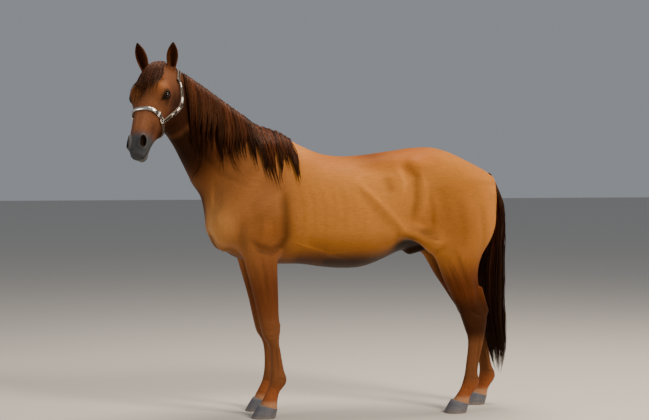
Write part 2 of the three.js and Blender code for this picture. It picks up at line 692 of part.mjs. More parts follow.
function eyeGeometry(side, radius) {
  const geometry = new THREE.SphereGeometry(radius, 8, 6);
  geometry.rotateX(Math.PI / 2);
  geometry.translate(...eyePlace(side));
  return geometry;
}

const ears = {
  left: { tip: [-808, -306, 1957], faces: 24 },
  right: { tip: [-990, -262, 1952], faces: -12 },
};
const earHalfWidth = 29;

// An ear is a leaf rolled into a scoop: its outlines run round the back and return inside.
function earSolid(side, head) {
  const { tip, faces } = ears[side];
  const base = headPoint(26, -70 * sideSign[side], -52);
  const axis = unit(minus(tip, base));
  const length = Math.hypot(...minus(tip, base));
  const facing = radians(faces);
  const forward = along(heading.map((c) => c * Math.cos(facing)), [headLeft, Math.sin(facing)]);
  const open = unit(along(forward, [axis, -dot(forward, axis)]));
  const across = cross(axis, open);
  const widths = smoothTable([[0, 0.74], [0.2 * length, 0.95], [0.42 * length, 1], [0.65 * length, 0.8],
    [0.85 * length, 0.42], [0.97 * length, 0.12], [length, 0.05]]);
  const steps = 3;
  const outline = (share) => {
    const half = earHalfWidth * widths(share * length)[0];
    const wall = mix(5, 1.6, share);
    const centre = along(base, [axis, share * length]);
    const back = [];
    const inside = [];
    for (let k = 0; k <= 2 * steps; k += 1) {
      const angle = mix(-1.9, 1.9, k / (2 * steps));
      const thin = Math.max(half - wall, half * 0.55);
      back.push(along(centre, [across, half * Math.sin(angle)], [open, -half * 0.8 * Math.cos(angle)]));
      inside.unshift(along(centre, [across, thin * Math.sin(angle)], [open, -thin * 0.8 * Math.cos(angle)]));
    }
    return [...back, ...inside];
  };
  const shares = [0, 0.22, 0.45, 0.68, 0.88, 1];
  return solid(skinOutlines(shares.map(outline))).subtract(head);
}

// Skins a row of closed outlines. Each runs out along one face and back along the other, so that its
// halves pair up where the ends are closed.
function skinOutlines(outlines) {
  const count = outlines[0].length;
  const faces = [];
  const at = (i, k) => i * count + (k % count);
  const last = outlines.length - 1;
  for (let i = 0; i < last; i += 1) {
    for (let k = 0; k < count; k += 1) {
      faces.push([at(i, k), at(i, k + 1), at(i + 1, k + 1)], [at(i, k), at(i + 1, k + 1), at(i + 1, k)]);
    }
  }
  for (let k = 0; k < count / 2 - 1; k += 1) {
    const quad = [k, k + 1, count - 2 - k, count - 1 - k];
    faces.push([quad[2], quad[1], quad[0]], [quad[3], quad[2], quad[0]]);
    const end = quad.map((v) => at(last, v));
    faces.push([end[0], end[1], end[2]], [end[0], end[2], end[3]]);
  }
  return facesGeometry(outlines.flat(), faces);
}

// ---------------------------------------------------------------- mane, forelock and tail

const maneFrom = 545;                 // along the neck: behind the ears
const maneTo = -150;                  // and over the withers
const maneLocks = 8;
const underside = 1.2;                // how far straps stand off the skin
const sunk = -10;                     // hair solids reach into the flesh, which then cuts them

const inNeck = (s, p) => along(neckStart, [neckAxis, s], [neckCrest, p],
  [neckRight, neckMiddle(s)[0] + neckLean(s)[0] * p]);

// A point of the mane: how far along the neck its root lies, how far it has dropped to the left of
// the crest (negative on the right), and how far it stands off the skin.
function manePoint(s, drop, level) {
  const surface = (x, y, z) => bodyDistance(x, y, z) - level;
  const middle = inNeck(s, 0);
  const upward = unit(minus(inNeck(s, 100), middle));
  const crest = along(middle, [upward, castOut(surface, middle, upward)]);
  if (Math.abs(drop) < 1) return crest;
  const backward = unit([-neckAxis[0], -neckAxis[1] * clamp(s / 200, 0, 1), 0]);
  const slant = mix(0.55, 0.12, clamp((s - maneTo) / 380, 0, 1));
  const fallen = along(crest, [backward, slant * Math.abs(drop)], [[0, 0, -1], Math.abs(drop)]);
  const offset = minus(fallen, neckStart);
  const start = inNeck(dot(offset, neckAxis), dot(offset, neckCrest) - 8);
  const nearShoulder = clamp((200 - s) / 260, 0, 1);
  const left = unit(mixPoints(neckRight.map((v) => -v), [0, -1, 0], nearShoulder));
  const outward = drop > 0 ? left : left.map((v) => -v);
  return along(start, [outward, castOut(surface, start, outward)]);
}

const maneLength = smoothTable([[maneTo - 10, 190], [-60, 260], [60, 320], [200, 350], [400, 360],
  [500, 310], [maneFrom + 5, 180]]);

function maneSolid(body) {
  const ringCount = 22;
  const outlines = [];
  for (let i = 0; i <= ringCount; i += 1) {
    const s = mix(maneFrom, maneTo, i / ringCount);
    const wave = 0.5 - 0.5 * Math.cos(2 * Math.PI * maneLocks * i / ringCount);
    const length = maneLength(s)[0] * (0.72 + 0.34 * wave);
    const thick = mix(11, 19, wave);
    const outer = [manePoint(s, -26, 4), manePoint(s, 0, 14)];
    const inner = [manePoint(s, 0, sunk), manePoint(s, -26, sunk)];
    for (const share of [0.1, 0.28, 0.52, 0.76, 1]) {
      outer.push(manePoint(s, length * share, share === 1 ? 5 : thick));
      inner.unshift(manePoint(s, length * share, sunk));
    }
    outlines.push([...outer, ...inner]);
  }
  return solid(skinOutlines(outlines)).subtract(body);
}

function forelockSolid(head) {
  const surface = (level) => (x, y, z) => bodyDistance(x, y, z) - level;
  const point = (across, down, level) => {
    const start = headPoint(down, across, -70);
    return along(start, [faceOut, castOut(surface(level), start, faceOut)]);
  };
  const columns = 10;
  const outlines = [];
  for (let i = 0; i <= columns; i += 1) {
    const spread = i / columns * 2 - 1;
    const wave = 0.5 - 0.5 * Math.cos(2 * Math.PI * 3 * i / columns);
    const length = 265 * (1 - 0.35 * Math.abs(spread)) * (0.74 + 0.26 * wave);
    const outer = [];
    const inner = [];
    for (const share of [0, 0.3, 0.65, 1]) {
      const across = spread * mix(34, 60, share) - 8 * share;
      const down = -12 + length * share;
      outer.push(point(across, down, share === 1 ? 5 : 12 - 3 * Math.abs(spread)));
      inner.unshift(point(across, down, sunk));
    }
    outlines.push([...outer, ...inner]);
  }
  return solid(skinOutlines(outlines)).subtract(head);
}

// Rows down the tail: [height, front, back, half width].
const tailRows = smoothTable([
  [188, 1000, 1018, 10],
  [230, 985, 1033, 32],
  [285, 968, 1046, 46],
  [356, 955, 1057, 58],
  [438, 935, 1057, 66],
  [547, 908, 1055, 72],
  [657, 905, 1054, 73],
  [766, 915, 1051, 72],
  [875, 930, 1047, 68],
  [1000, 945, 1053, 60],
  [1100, 950, 1049, 52],
  [1171, 948, 1034, 45],
  [1240, 935, 1009, 38],
  [1272, 925, 990, 30],
  [1290, 922, 962, 20],
]);

function tailSolid(body) {
  const count = 12;
  const heights = [1290, 1268, 1230, 1170, 1080, 950, 790, 620, 460, 330, 235, 188];
  const rings = heights.map((z) => {
    const [front, back, half] = tailRows(z);
    const points = [];
    for (let j = 0; j < count; j += 1) {
      const angle = 2 * Math.PI * j / count;
      const groove = 1 - (z < 1150 ? 0.08 : 0.03) * (j % 2);
      const x = (front + back) / 2 + (back - front) / 2 * groove * Math.cos(angle);
      points.push([x, half * groove * Math.sin(angle), z]);
    }
    return points;
  });
  const ends = [heights[0] + 6, heights[heights.length - 1] - 4];
  const centre = (points, z) => [(points[0][0] + points[count / 2][0]) / 2, 0, z];
  const points = [centre(rings[0], ends[0]), ...rings.flat(), centre(rings[rings.length - 1], ends[1])];
  return solid(skinRings(points, count)).subtract(body);
}

// ---------------------------------------------------------------- halter

const strapThick = 5;
const plateThick = 4;
const plateLift = 1.2;                // plates sit this far over the leather they are riveted to
const strapWidth = 20;

// A band runs through places on the skin, each seen from a point inside the head, with its flat side
// to the skin, between two distances off it.
function bandOutlines(places, width, low, high) {
  const reach = (from, toward) => castOut(bodyDistance, from, toward);
  const onSkin = places.map(({ from, toward }) => along(from, [toward, reach(from, toward)]));
  return places.map(({ from, toward }, i) => {
    const before = onSkin[Math.max(i - 1, 0)];
    const after = onSkin[Math.min(i + 1, places.length - 1)];
    const edge = unit(cross(unit(minus(after, before)), toward));
    const corner = (half, level) => {
      const start = along(from, [edge, half * width]);
      return along(start, [toward, reach(start, toward) + level]);
    };
    return [corner(-0.5, high), corner(0.5, high), corner(0.5, low), corner(-0.5, low)];
  });
}
const strap = (places, width, flesh, low = underside) => (
  solid(skinOutlines(bandOutlines(places, width, low, strapThick))).subtract(flesh));
const plate = (places, width) => (
  solid(skinOutlines(bandOutlines(places, width, strapThick + plateLift, strapThick + plateThick))));

// Places round the nose or the jaw, by angle from the front of the face towards the left.
function placesAround(down, from, to, count) {
  const middle = headPoint(down, 0, ringOut);
  return Array.from({ length: count + 1 }, (_, i) => {
    const angle = radians(mix(from, to, i / count));
    const toward = along([0, 0, 0], [faceOut, Math.cos(angle)], [headLeft, Math.sin(angle)]);
    return { from: middle, toward };
  });
}

// Places along a curve given as [down, left, out] on the left side, mirrored for the right.
function placesAlong(points, side, count) {
  const mirror = -sideSign[side];
  const curve = new THREE.CatmullRomCurve3(points.map((p) => new THREE.Vector3(...p)));
  return curve.getSpacedPoints(count).map((p) => {
    const from = headPoint(p.x, 0, strapCore);
    return { from, toward: unit(minus(headPoint(p.x, mirror * p.y, p.z), from)) };
  });
}

const nosebandDown = 322;
const ringOut = -94;
const strapCore = -100;
const ringAngle = 88;                 // where the cheek rings sit, from the front of the face
const ringSize = 34;
const cheekPath = [[292, 68, -128], [268, 71, -142], [235, 76, -158], [195, 82, -180], [150, 92, -192],
  [110, 98, -178], [70, 97, -148], [46, 93, -122]];

// The strap over the poll, behind the ears, from one cheek strap to the other.
function crownSolid(flesh) {
  const from = headPoint(60, 0, -100);
  const upward = unit(along(faceDown.map((v) => -v), [faceOut, -0.12]));
  const reach = 70;
  const steps = 14;
  const places = Array.from({ length: steps + 1 }, (_, i) => {
    const angle = radians(mix(-reach, reach, i / steps));
    return { from, toward: along([0, 0, 0], [upward, Math.cos(angle)], [headLeft, Math.sin(angle)]) };
  });
  return strap(places, strapWidth, flesh, sunk);
}

// A square ring that lies flat on the cheek where the straps meet.
function ringSolid(side) {
  const sign = -sideSign[side];
  const middle = headPoint(nosebandDown, 0, ringOut);
  const angle = radians(ringAngle);
  const toward = along([0, 0, 0], [faceOut, Math.cos(angle)], [headLeft, sign * Math.sin(angle)]);
  const reach = castOut(bodyDistance, middle, toward);
  const box = (size, depth) => {
    const geometry = new THREE.BoxGeometry(size, size, depth);
    geometry.translate(0, 0, reach + 1.5 + 3);
    const basis = new THREE.Matrix4().makeBasis(new THREE.Vector3(...faceDown),
      new THREE.Vector3(...cross(toward, faceDown)), new THREE.Vector3(...toward));
    geometry.applyMatrix4(basis);
    geometry.translate(...middle);
    return solid(geometry);
  };
  return box(ringSize, 6).subtract(box(ringSize - 13, 12));
}

// ---------------------------------------------------------------- the model

const colours = {
  body: 0xb5713a, neck: 0x96552c, head: 0x9a5830, legs: 0x8f5230, mane: 0x4a2016, tail: 0x2c1510,
  hoof: 0x4c4d55, eye: 0x140c0a, leather: 0x17130f, silver: 0xc9c6c0,
};
const horse = new THREE.Group();

function add(name, body, color, roughness = 0.6, metalness = 0) {
  const material = new THREE.MeshStandardMaterial({ color, roughness, metalness });
  const mesh = new THREE.Mesh(body instanceof THREE.BufferGeometry ? body : solidGeometry(body), material);
  mesh.name = name;
  horse.add(mesh);
}

const fatTrunk = trunkSolid(gap);
const fatNeck = neckSolid(gap);
const fatHead = headSolid(gap);
let head = headSolid();
for (const side of ['left', 'right']) head = head.subtract(solid(eyeGeometry(side, eyeRadius + gap)));

add('trunk', trunkSolid(), colours.body);
add('neck', neckSolid(), colours.neck);
add('head', head, colours.head);
for (const side of ['left', 'right']) {
  add(`eye_${side}`, eyeGeometry(side, eyeRadius), colours.eye, 0.1);
  add(`ear_${side}`, earSolid(side, fatHead), colours.head);
  for (const pair of ['fore', 'hind']) {
    add(`${pair}_leg_${side}`, legSolid(pair, side), colours.legs);
    add(`${pair}_hoof_${side}`, hoofSolid(pair, side), colours.hoof, 0.5);
  }
}
add('mane', maneSolid(fatTrunk.add(fatNeck).add(fatHead)), colours.mane, 0.5);
add('forelock', forelockSolid(fatHead), colours.mane, 0.5);
add('tail', tailSolid(fatTrunk), colours.tail, 0.5);

const fatFlesh = fatHead.add(fatNeck);
const ringRoom = 20;                  // degrees that a cheek ring takes up between two straps
const overNose = placesAround(nosebandDown, ringRoom - ringAngle, ringAngle - ringRoom, 12);
add('noseband', strap(overNose, 24, fatHead), colours.leather);
add('noseband_plate', plate(placesAround(nosebandDown, -44, 44, 8), 15), colours.silver, 0.25, 1);
const underJaw = placesAround(nosebandDown, ringAngle + ringRoom + 2, 358 - ringRoom - ringAngle, 10);
add('chin_strap', strap(underJaw, strapWidth, fatHead), colours.leather);
add('crown_strap', crownSolid(fatFlesh), colours.leather);
for (const side of ['left', 'right']) {
  const cheekPlaces = placesAlong(cheekPath, side, 18);
  add(`cheek_strap_${side}`, strap(cheekPlaces, strapWidth, fatFlesh), colours.leather);
  add(`cheek_ring_${side}`, ringSolid(side).subtract(fatHead), colours.silver, 0.25, 1);
  for (const [name, first] of [['front', 4], ['middle', 8], ['back', 12], ['top', 17]]) {
    add(`${name}_plate_${side}`, plate(cheekPlaces.slice(first, first + 3), 14), colours.silver, 0.25, 1);
  }
}

// The origin goes to the floor under the middle of the whole.
const whole = new THREE.Box3().setFromObject(horse);
for (const piece of horse.children) {
  piece.geometry.translate(-(whole.min.x + whole.max.x) / 2, -(whole.min.y + whole.max.y) / 2, 0);
}

export default horse;
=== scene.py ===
import math
import bpy
import bmesh
import numpy as np
from mathutils import Matrix, Vector


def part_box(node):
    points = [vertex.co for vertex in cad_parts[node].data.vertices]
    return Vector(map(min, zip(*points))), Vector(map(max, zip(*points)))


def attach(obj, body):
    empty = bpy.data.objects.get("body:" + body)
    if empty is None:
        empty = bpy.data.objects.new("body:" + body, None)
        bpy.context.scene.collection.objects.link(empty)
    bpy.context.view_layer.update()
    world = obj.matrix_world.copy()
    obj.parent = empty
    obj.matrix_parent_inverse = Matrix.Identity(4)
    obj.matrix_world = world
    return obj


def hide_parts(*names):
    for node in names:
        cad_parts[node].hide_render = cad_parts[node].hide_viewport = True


# A life-size chestnut stallion in a leather halter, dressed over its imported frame.
# Shapes are worked out in millimetres in the horse's own axes: it faces -X, its left is -Y, and the
# hooves stand on z = 0. placed() takes them to metres in the frame.
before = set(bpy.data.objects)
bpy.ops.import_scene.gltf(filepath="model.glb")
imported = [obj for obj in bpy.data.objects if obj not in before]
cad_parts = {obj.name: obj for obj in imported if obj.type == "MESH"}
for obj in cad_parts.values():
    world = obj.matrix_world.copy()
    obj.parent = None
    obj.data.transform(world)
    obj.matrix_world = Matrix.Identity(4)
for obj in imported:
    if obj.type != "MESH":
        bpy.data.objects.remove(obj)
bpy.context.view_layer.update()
foreTrack = 135         # half the distance between the fore hooves
hindTrack = 140
toe = np.array(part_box("fore_hoof_left")[0]) * 1000
heelSide = np.array(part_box("fore_hoof_left")[1]) * 1000
frameShift = np.array([toe[0] + 385, (toe[1] + heelSide[1]) / 2 + foreTrack, 0])


def placed(points):
    return (np.asarray(points, float) + frameShift) / 1000


# small helpers

def vec(*v):
    return np.array(v, float)


def unit(v):
    v = np.asarray(v, float)
    return v / np.linalg.norm(v, axis=-1, keepdims=True)


def mix(a, b, t):
    return a + (b - a) * t


def soft(low, high, x):
    t = np.clip((x - low) / (high - low), 0, 1)
    return t * t * (3 - 2 * t)


def linear(hexColour):
    # an sRGB hex colour as linear red, green, blue
    parts = [int(hexColour[i:i + 2], 16) / 255 for i in (1, 3, 5)]
    return [c / 12.92 if c <= 0.04045 else ((c + 0.055) / 1.055) ** 2.4 for c in parts]


def linked(name, data):
    piece = bpy.data.objects.new(name, data)
    bpy.context.scene.collection.objects.link(piece)
    return piece


def meshObject(name, points, faces, material=None, smooth=True):
    mesh = bpy.data.meshes.new(name)
    mesh.from_pydata([tuple(p) for p in points], [], [tuple(int(i) for i in f) for f in faces])
    if smooth:
        mesh.polygons.foreach_set("use_smooth", [True] * len(mesh.polygons))
    if material:
        mesh.materials.append(material)
    return linked(name, mesh)


def tubeFaces(rings, count, first=0):
    # quads between rings of count points each
    return [(a + j, a + count + j, a + count + (j + 1) % count, a + (j + 1) % count)
            for a in range(first, first + (rings - 1) * count, count) for j in range(count)]


def cleanFaces(piece, corners=None, outward=True):
    # faces with more corners than that become triangles, and all face outward
    bm = bmesh.new()
    bm.from_mesh(piece.data)
    if corners:
        bmesh.ops.triangulate(bm, faces=[f for f in bm.faces if len(f.verts) > corners])
    if outward:
        bmesh.ops.recalc_face_normals(bm, faces=bm.faces[:])
    bm.to_mesh(piece.data)
    bm.free()


def quadObject(name, points, quads):
    # the fast way for large quad meshes
    mesh = bpy.data.meshes.new(name)
    mesh.vertices.add(len(points))
    mesh.vertices.foreach_set("co", np.asarray(points, np.float32).ravel())
    mesh.loops.add(len(quads) * 4)
    mesh.loops.foreach_set("vertex_index", np.asarray(quads, np.int32).ravel())
    mesh.polygons.add(len(quads))
    mesh.polygons.foreach_set("loop_start", np.arange(0, len(quads) * 4, 4, dtype=np.int32))
    mesh.polygons.foreach_set("use_smooth", np.ones(len(quads), bool))
    mesh.update(calc_edges=True)
    return linked(name, mesh)


def pointsOf(piece):
    co = np.empty(len(piece.data.vertices) * 3)
    piece.data.vertices.foreach_get("co", co)
    return co.reshape(-1, 3)


def applyModifiers(piece):
    # the evaluated result becomes the piece's plain mesh
    bpy.context.view_layer.update()
    graph = bpy.context.evaluated_depsgraph_get()
    mesh = bpy.data.meshes.new_from_object(piece.evaluated_get(graph))
    piece.modifiers.clear()
    piece.data = mesh
    return piece


# the implicit masses: the same tables as the frame's own solids

def smoothTable(rows, step=4.0):
    rows = np.array(rows, float)
    t, values = rows[:, 0], rows[:, 1:]
    slopes = np.empty_like(values)
    slopes[1:-1] = (values[2:] - values[:-2]) / (t[2:] - t[:-2])[:, None]
    slopes[0] = (values[1] - values[0]) / (t[1] - t[0])
    slopes[-1] = (values[-1] - values[-2]) / (t[-1] - t[-2])
    at = np.append(np.arange(t[0], t[-1], step), t[-1])
    row = np.clip(np.searchsorted(t, at, side="right") - 1, 0, len(t) - 2)
    length = (t[row + 1] - t[row])[:, None]
    u = (at - t[row])[:, None] / length
    a, b = values[row], values[row + 1]
    start, end = slopes[row] * length, slopes[row + 1] * length
    curve = (((2 * (a - b) + start + end) * u + 3 * (b - a) - 2 * start - end) * u + start) * u + a
    return lambda x: [np.interp(x, at, curve[:, c]) for c in range(curve.shape[1])]


def sweep(origin, axis, front, rows, startCap, endCap):
    # a limb or trunk along a straight axis; a row is
    # [position, front, back, widest, middle, halfWidth, frontPower, backPower]
    origin, axis, front = vec(*origin), vec(*axis), vec(*front)
    side = np.cross(axis, front)
    table = smoothTable(rows)
    first, last = rows[0][0], rows[-1][0]

    def distance(p):
        d = p - origin
        t = d @ axis
        held = np.clip(t, first, last)
        ahead, behind, widest, middle, half, frontPower, backPower = table(held)
        a = d @ front - widest
        b = d @ side - middle
        reach = np.where(a > 0, ahead - widest, widest - behind)
        power = np.where(a > 0, frontPower, backPower)
        over = (t - held) / np.where(t < first, startCap, endCap)
        ratio = ((np.abs(a) / reach) ** power + (np.abs(b) / half) ** power) ** (1 / power)
        r = np.hypot(ratio, over)
        length = np.sqrt(a * a + b * b + (t - held) ** 2)
        return np.where(r < 1e-5, -np.minimum(reach, half), length * (1 - 1 / np.maximum(r, 1e-5)))
    return distance


def mass(centre, radii, long=(1, 0, 0), flat=(0, 1, 0)):
    a = unit(long)
    c = unit(np.cross(a, flat))
    axes = np.stack([a, np.cross(c, a), c], 1)
    centre, radii = vec(*centre), vec(*radii)

    def distance(p):
        local = (p - centre) @ axes
        near = np.sqrt(((local / radii) ** 2).sum(1))
        steep = np.sqrt(((local / radii ** 2) ** 2).sum(1))
        return near * (near - 1) / np.maximum(steep, 1e-6)
    return distance


def toSegment(p, a, b):
    # distance to a line between two points, and how far along it that is
    span = b - a
    t = np.clip(((p - a) @ span) / (span @ span), 0, 1)
    away = p - a - t[:, None] * span
    return np.sqrt((away * away).sum(1)), t


def bar(start, end, startRadius, endRadius):
    start, end = vec(*start), vec(*end)

    def distance(p):
        away, t = toSegment(p, start, end)
        return away - mix(startRadius, endRadius, t)
    return distance


def blend(a, b, width):
    h = np.maximum(width - np.abs(a - b), 0) / width
    return np.minimum(a, b) - h * h * width / 4


def carve(a, b, width):
    return -blend(-a, b, width)


def blendAll(d, masses, p):
    for shape, width in masses:
        d = blend(d, shape(p), width)
    return d


barrel = sweep((0, 0, 0), (1, 0, 0), (0, 0, 1), [
    [-572, 1225, 968, 1090, 0, 105, 2.0, 2.0],
    [-525, 1330, 892, 1080, 0, 160, 1.9, 2.1],
    [-460, 1410, 842, 1070, 0, 203, 1.7, 2.2],
    [-370, 1480, 815, 1065, 0, 222, 1.5, 2.3],
    [-270, 1508, 802, 1060, 0, 228, 1.35, 2.3],
    [-200, 1490, 799, 1065, 0, 236, 1.4, 2.2],
    [-100, 1437, 797, 1070, 0, 262, 1.6, 2.1],
    [10, 1393, 782, 1070, 0, 290, 1.85, 2.1],
    [120, 1379, 773, 1070, 0, 304, 2.0, 2.1],
    [230, 1385, 779, 1085, 0, 303, 2.0, 2.1],
    [330, 1396, 812, 1120, 0, 288, 2.0, 2.0],
    [430, 1410, 856, 1170, 0, 268, 2.05, 1.9],
    [540, 1426, 885, 1200, 0, 256, 2.1, 1.9],
    [640, 1423, 900, 1200, 0, 250, 2.0, 2.0],
    [760, 1380, 910, 1190, 0, 235, 1.9, 2.0],
    [860, 1333, 930, 1170, 0, 190, 1.9, 2.0],
    [925, 1298, 990, 1150, 0, 130, 1.9, 2.0],
    [962, 1272, 1070, 1170, 0, 62, 2.0, 2.0],
], 40, 26)
foreMuscles = [
    (bar((-285, 88, 1400), (-515, 150, 1020), 58, 62), 90),            # shoulder blade
    (mass((-345, 165, 1040), (150, 72, 105), (0.75, 0, 0.66)), 60),    # triceps
    (mass((-520, 140, 1000), (62, 58, 85), (1, 0.25, 0)), 50),         # point of shoulder
    (mass((-528, 72, 985), (60, 74, 115), (1, 0, 0.15)), 36),          # breast
]
hindMuscles = [
    (mass((400, 105, 1320), (230, 95, 72), (1, 0, 0.08)), 50),         # loin
    (mass((492, 212, 1318), (58, 46, 44), (1, 0.1, -0.25)), 46),       # point of hip
    (mass((640, 128, 1262), (230, 132, 132), (1, 0.1, -0.3)), 60),     # rump
    (mass((868, 100, 1165), (88, 82, 135), (1, 0, 0)), 50),            # buttock
    (bar((420, 205, 985), (575, 186, 925), 30, 44), 60),               # fold of the flank
    (bar((505, 0, 880), (590, 0, 905), 40, 42), 30),                   # sheath
]
foreRows = [
    [40, -340, -244, -290, foreTrack, 47, 2.1, 2.1],
    [66, -336, -243, -288, foreTrack, 45, 2.1, 2.1],
    [86, -329, -242, -284, foreTrack, 40, 2.1, 2.1],
    [110, -316, -238, -276, foreTrack, 33, 2.1, 2.1],
    [136, -303, -230, -266, foreTrack, 28, 2.1, 2.1],
    [163, -292, -210, -252, foreTrack + 1, 29, 2.1, 2.2],
    [190, -285, -195, -240, foreTrack + 1, 33, 2.1, 2.2],
    [214, -281, -196, -240, foreTrack + 2, 32, 2.1, 2.2],
    [245, -279, -206, -246, foreTrack + 2, 25, 2.1, 2.1],
    [300, -279, -217, -252, foreTrack + 3, 21, 2.1, 2.0],
    [352, -284, -226, -258, foreTrack + 4, 23, 2.2, 2.0],
    [388, -296, -233, -265, foreTrack + 4, 34, 2.4, 2.1],
    [425, -319, -233, -278, foreTrack + 5, 44, 2.6, 2.2],
    [462, -331, -228, -282, foreTrack + 5, 46, 2.6, 2.2],
    [500, -340, -232, -286, foreTrack + 6, 43, 2.4, 2.2],
    [545, -350, -236, -293, foreTrack + 8, 40, 2.1, 2.1],
    [610, -364, -238, -300, foreTrack + 10, 44, 2.1, 2.1],
    [700, -389, -241, -312, foreTrack + 16, 53, 2.1, 2.1],
    [790, -416, -243, -325, foreTrack + 24, 61, 2.1, 2.1],
    [880, -442, -240, -335, foreTrack + 30, 66, 2.1, 2.1],
    [980, -462, -236, -345, foreTrack + 34, 66, 2.0, 2.0],
]
hindRows = [
    [40, 698, 796, 748, hindTrack, 44, 2.1, 2.1],
    [62, 706, 800, 755, hindTrack, 42, 2.1, 2.1],
    [82, 721, 806, 765, hindTrack, 36, 2.1, 2.1],
    [104, 737, 820, 780, hindTrack, 31, 2.1, 2.1],
    [127, 750, 840, 796, hindTrack, 30, 2.1, 2.2],
    [151, 760, 853, 806, hindTrack, 33, 2.1, 2.2],
    [178, 768, 855, 812, hindTrack, 34, 2.1, 2.2],
    [210, 775, 848, 813, hindTrack + 1, 27, 2.1, 2.1],
    [285, 784, 856, 823, hindTrack + 2, 22, 2.1, 2.0],
    [350, 791, 872, 835, hindTrack + 3, 24, 2.1, 2.0],
    [405, 789, 884, 838, hindTrack + 4, 31, 2.2, 1.9],
    [455, 772, 893, 830, hindTrack + 4, 42, 2.3, 1.8],
    [505, 757, 898, 820, hindTrack + 4, 44, 2.3, 1.8],
    [545, 742, 896, 806, hindTrack + 5, 41, 2.2, 1.7],
    [600, 711, 875, 779, hindTrack + 8, 42, 2.1, 1.7],
    [660, 680, 856, 760, hindTrack + 13, 52, 2.1, 1.9],
    [725, 647, 843, 745, hindTrack + 18, 62, 2.1, 2.0],
    [790, 620, 848, 735, hindTrack + 21, 72, 2.0, 2.1],
    [870, 585, 876, 733, hindTrack + 20, 84, 2.0, 2.1],
    [950, 555, 912, 738, hindTrack + 16, 95, 2.0, 2.1],
    [1040, 548, 938, 745, hindTrack + 10, 106, 2.0, 2.1],
    [1140, 560, 940, 752, hindTrack, 110, 2.0, 2.1],
    [1230, 590, 915, 758, hindTrack - 10, 100, 2.0, 2.0],
]


def uprightLeg(rows):
    flipped = [[t, -f, -b, -w, m, h, fp, bp] for t, f, b, w, m, h, fp, bp in rows]
    return sweep((0, 0, 0), (0, 0, 1), (-1, 0, 0), flipped, 8, 60)


legSweep = {"fore": uprightLeg(foreRows), "hind": uprightLeg(hindRows)}
hindLegMuscles = [
    (mass((612, 178, 935), (62, 58, 80), (0.9, 0, -0.4)), 50),         # stifle
    (mass((760, 168, 1040), (150, 98, 170), (0.8, 0, 0.6)), 60),       # thigh
    (mass((735, 176, 770), (62, 48, 110), (1, 0, 0)), 30),             # gaskin
    (bar((858, 150, 665), (890, hindTrack + 4, 545), 14, 17), 18),     # hock tendon
]
hindStance = smoothTable([
    [0, 188], [100, 181], [200, 166], [350, 118], [500, 70], [560, 60], [650, 49], [820, 20], [1000, 0],
    [1240, 0]])
foreSetBack = 8


def setBack(pair, side, z):
    if side == "left":
        return np.zeros_like(z)
    return np.full_like(z, foreSetBack) if pair == "fore" else hindStance(z)[0]


def legLocal(pair, side, p):
    # a leg's own axes: x and z as on the left leg, y growing outwards
    outward = -p[:, 1] if side == "left" else p[:, 1]
    return np.stack([p[:, 0] - setBack(pair, side, p[:, 2]), outward, p[:, 2]], 1)


def legDistance(pair, side, p):
    local = legLocal(pair, side, p)
    d = legSweep[pair](local * (1, -1, 1))
    return d if pair == "fore" else blendAll(d, hindLegMuscles, local)


neckStart, neckEnd = vec(-470, -8, 1363), vec(-871, -275, 1766)
neckAxis = unit(neckEnd - neckStart)
neckCrest = unit(vec(0, 0, 1) - neckAxis * neckAxis[2])
neckRight = np.cross(neckAxis, neckCrest)
neckRows = [
    [-190, 150, -220, -40, -84, 165, 1.7, 2.1],
    [-90, 184, -224, -40, -36, 158, 1.6, 2.1],
    [0, 208, -222, -38, 6, 138, 1.6, 2.1],
    [100, 208, -212, -36, 20, 108, 1.6, 2.1],
    [210, 203, -198, -34, 28, 88, 1.6, 2.2],
    [320, 192, -183, -32, 26, 78, 1.6, 2.2],
    [430, 165, -172, -28, 20, 70, 1.7, 2.2],
    [530, 134, -166, -20, 10, 64, 1.9, 2.2],
    [600, 105, -155, -12, 4, 56, 2.0, 2.2],
]
neckSweep = sweep(neckStart, neckAxis, neckCrest, neckRows, 60, 50)
neckMiddle = smoothTable([[row[0], row[4]] for row in neckRows])
neckLean = smoothTable([[-200, -0.43], [-60, -0.42], [60, -0.32], [200, -0.12], [330, 0], [620, 0]])


def neckLocal(p):
    # along the neck, towards the crest, and to the right of its middle
    d = p - neckStart
    s, crest = d @ neckAxis, d @ neckCrest
    return np.stack([s, crest, d @ neckRight - neckLean(s)[0] * crest - neckMiddle(s)[0]], 1)


def neckDistance(p):
    d = p - neckStart
    shift = neckLean(d @ neckAxis)[0] * (d @ neckCrest)
    return neckSweep(p - shift[:, None] * neckRight)


headTop = vec(-888, -277, 1858)
headTurn, headPitch, headRoll = math.radians(30), math.radians(39.5), math.radians(4)
heading = vec(-math.sin(headTurn), -math.cos(headTurn), 0)
rollTurn = np.array(Matrix.Rotation(headRoll, 3, Vector(heading)))
faceDown = rollTurn @ (vec(0, 0, -math.cos(headPitch)) + heading * math.sin(headPitch))
faceOut = rollTurn @ (vec(0, 0, math.sin(headPitch)) + heading * math.cos(headPitch))
headLeft = rollTurn @ vec(math.cos(headTurn), -math.sin(headTurn), 0)
headAxes = np.stack([faceDown, headLeft, faceOut], 1)


def headPoint(down, left, out):
    return headTop + faceDown * down + headLeft * left + faceOut * out


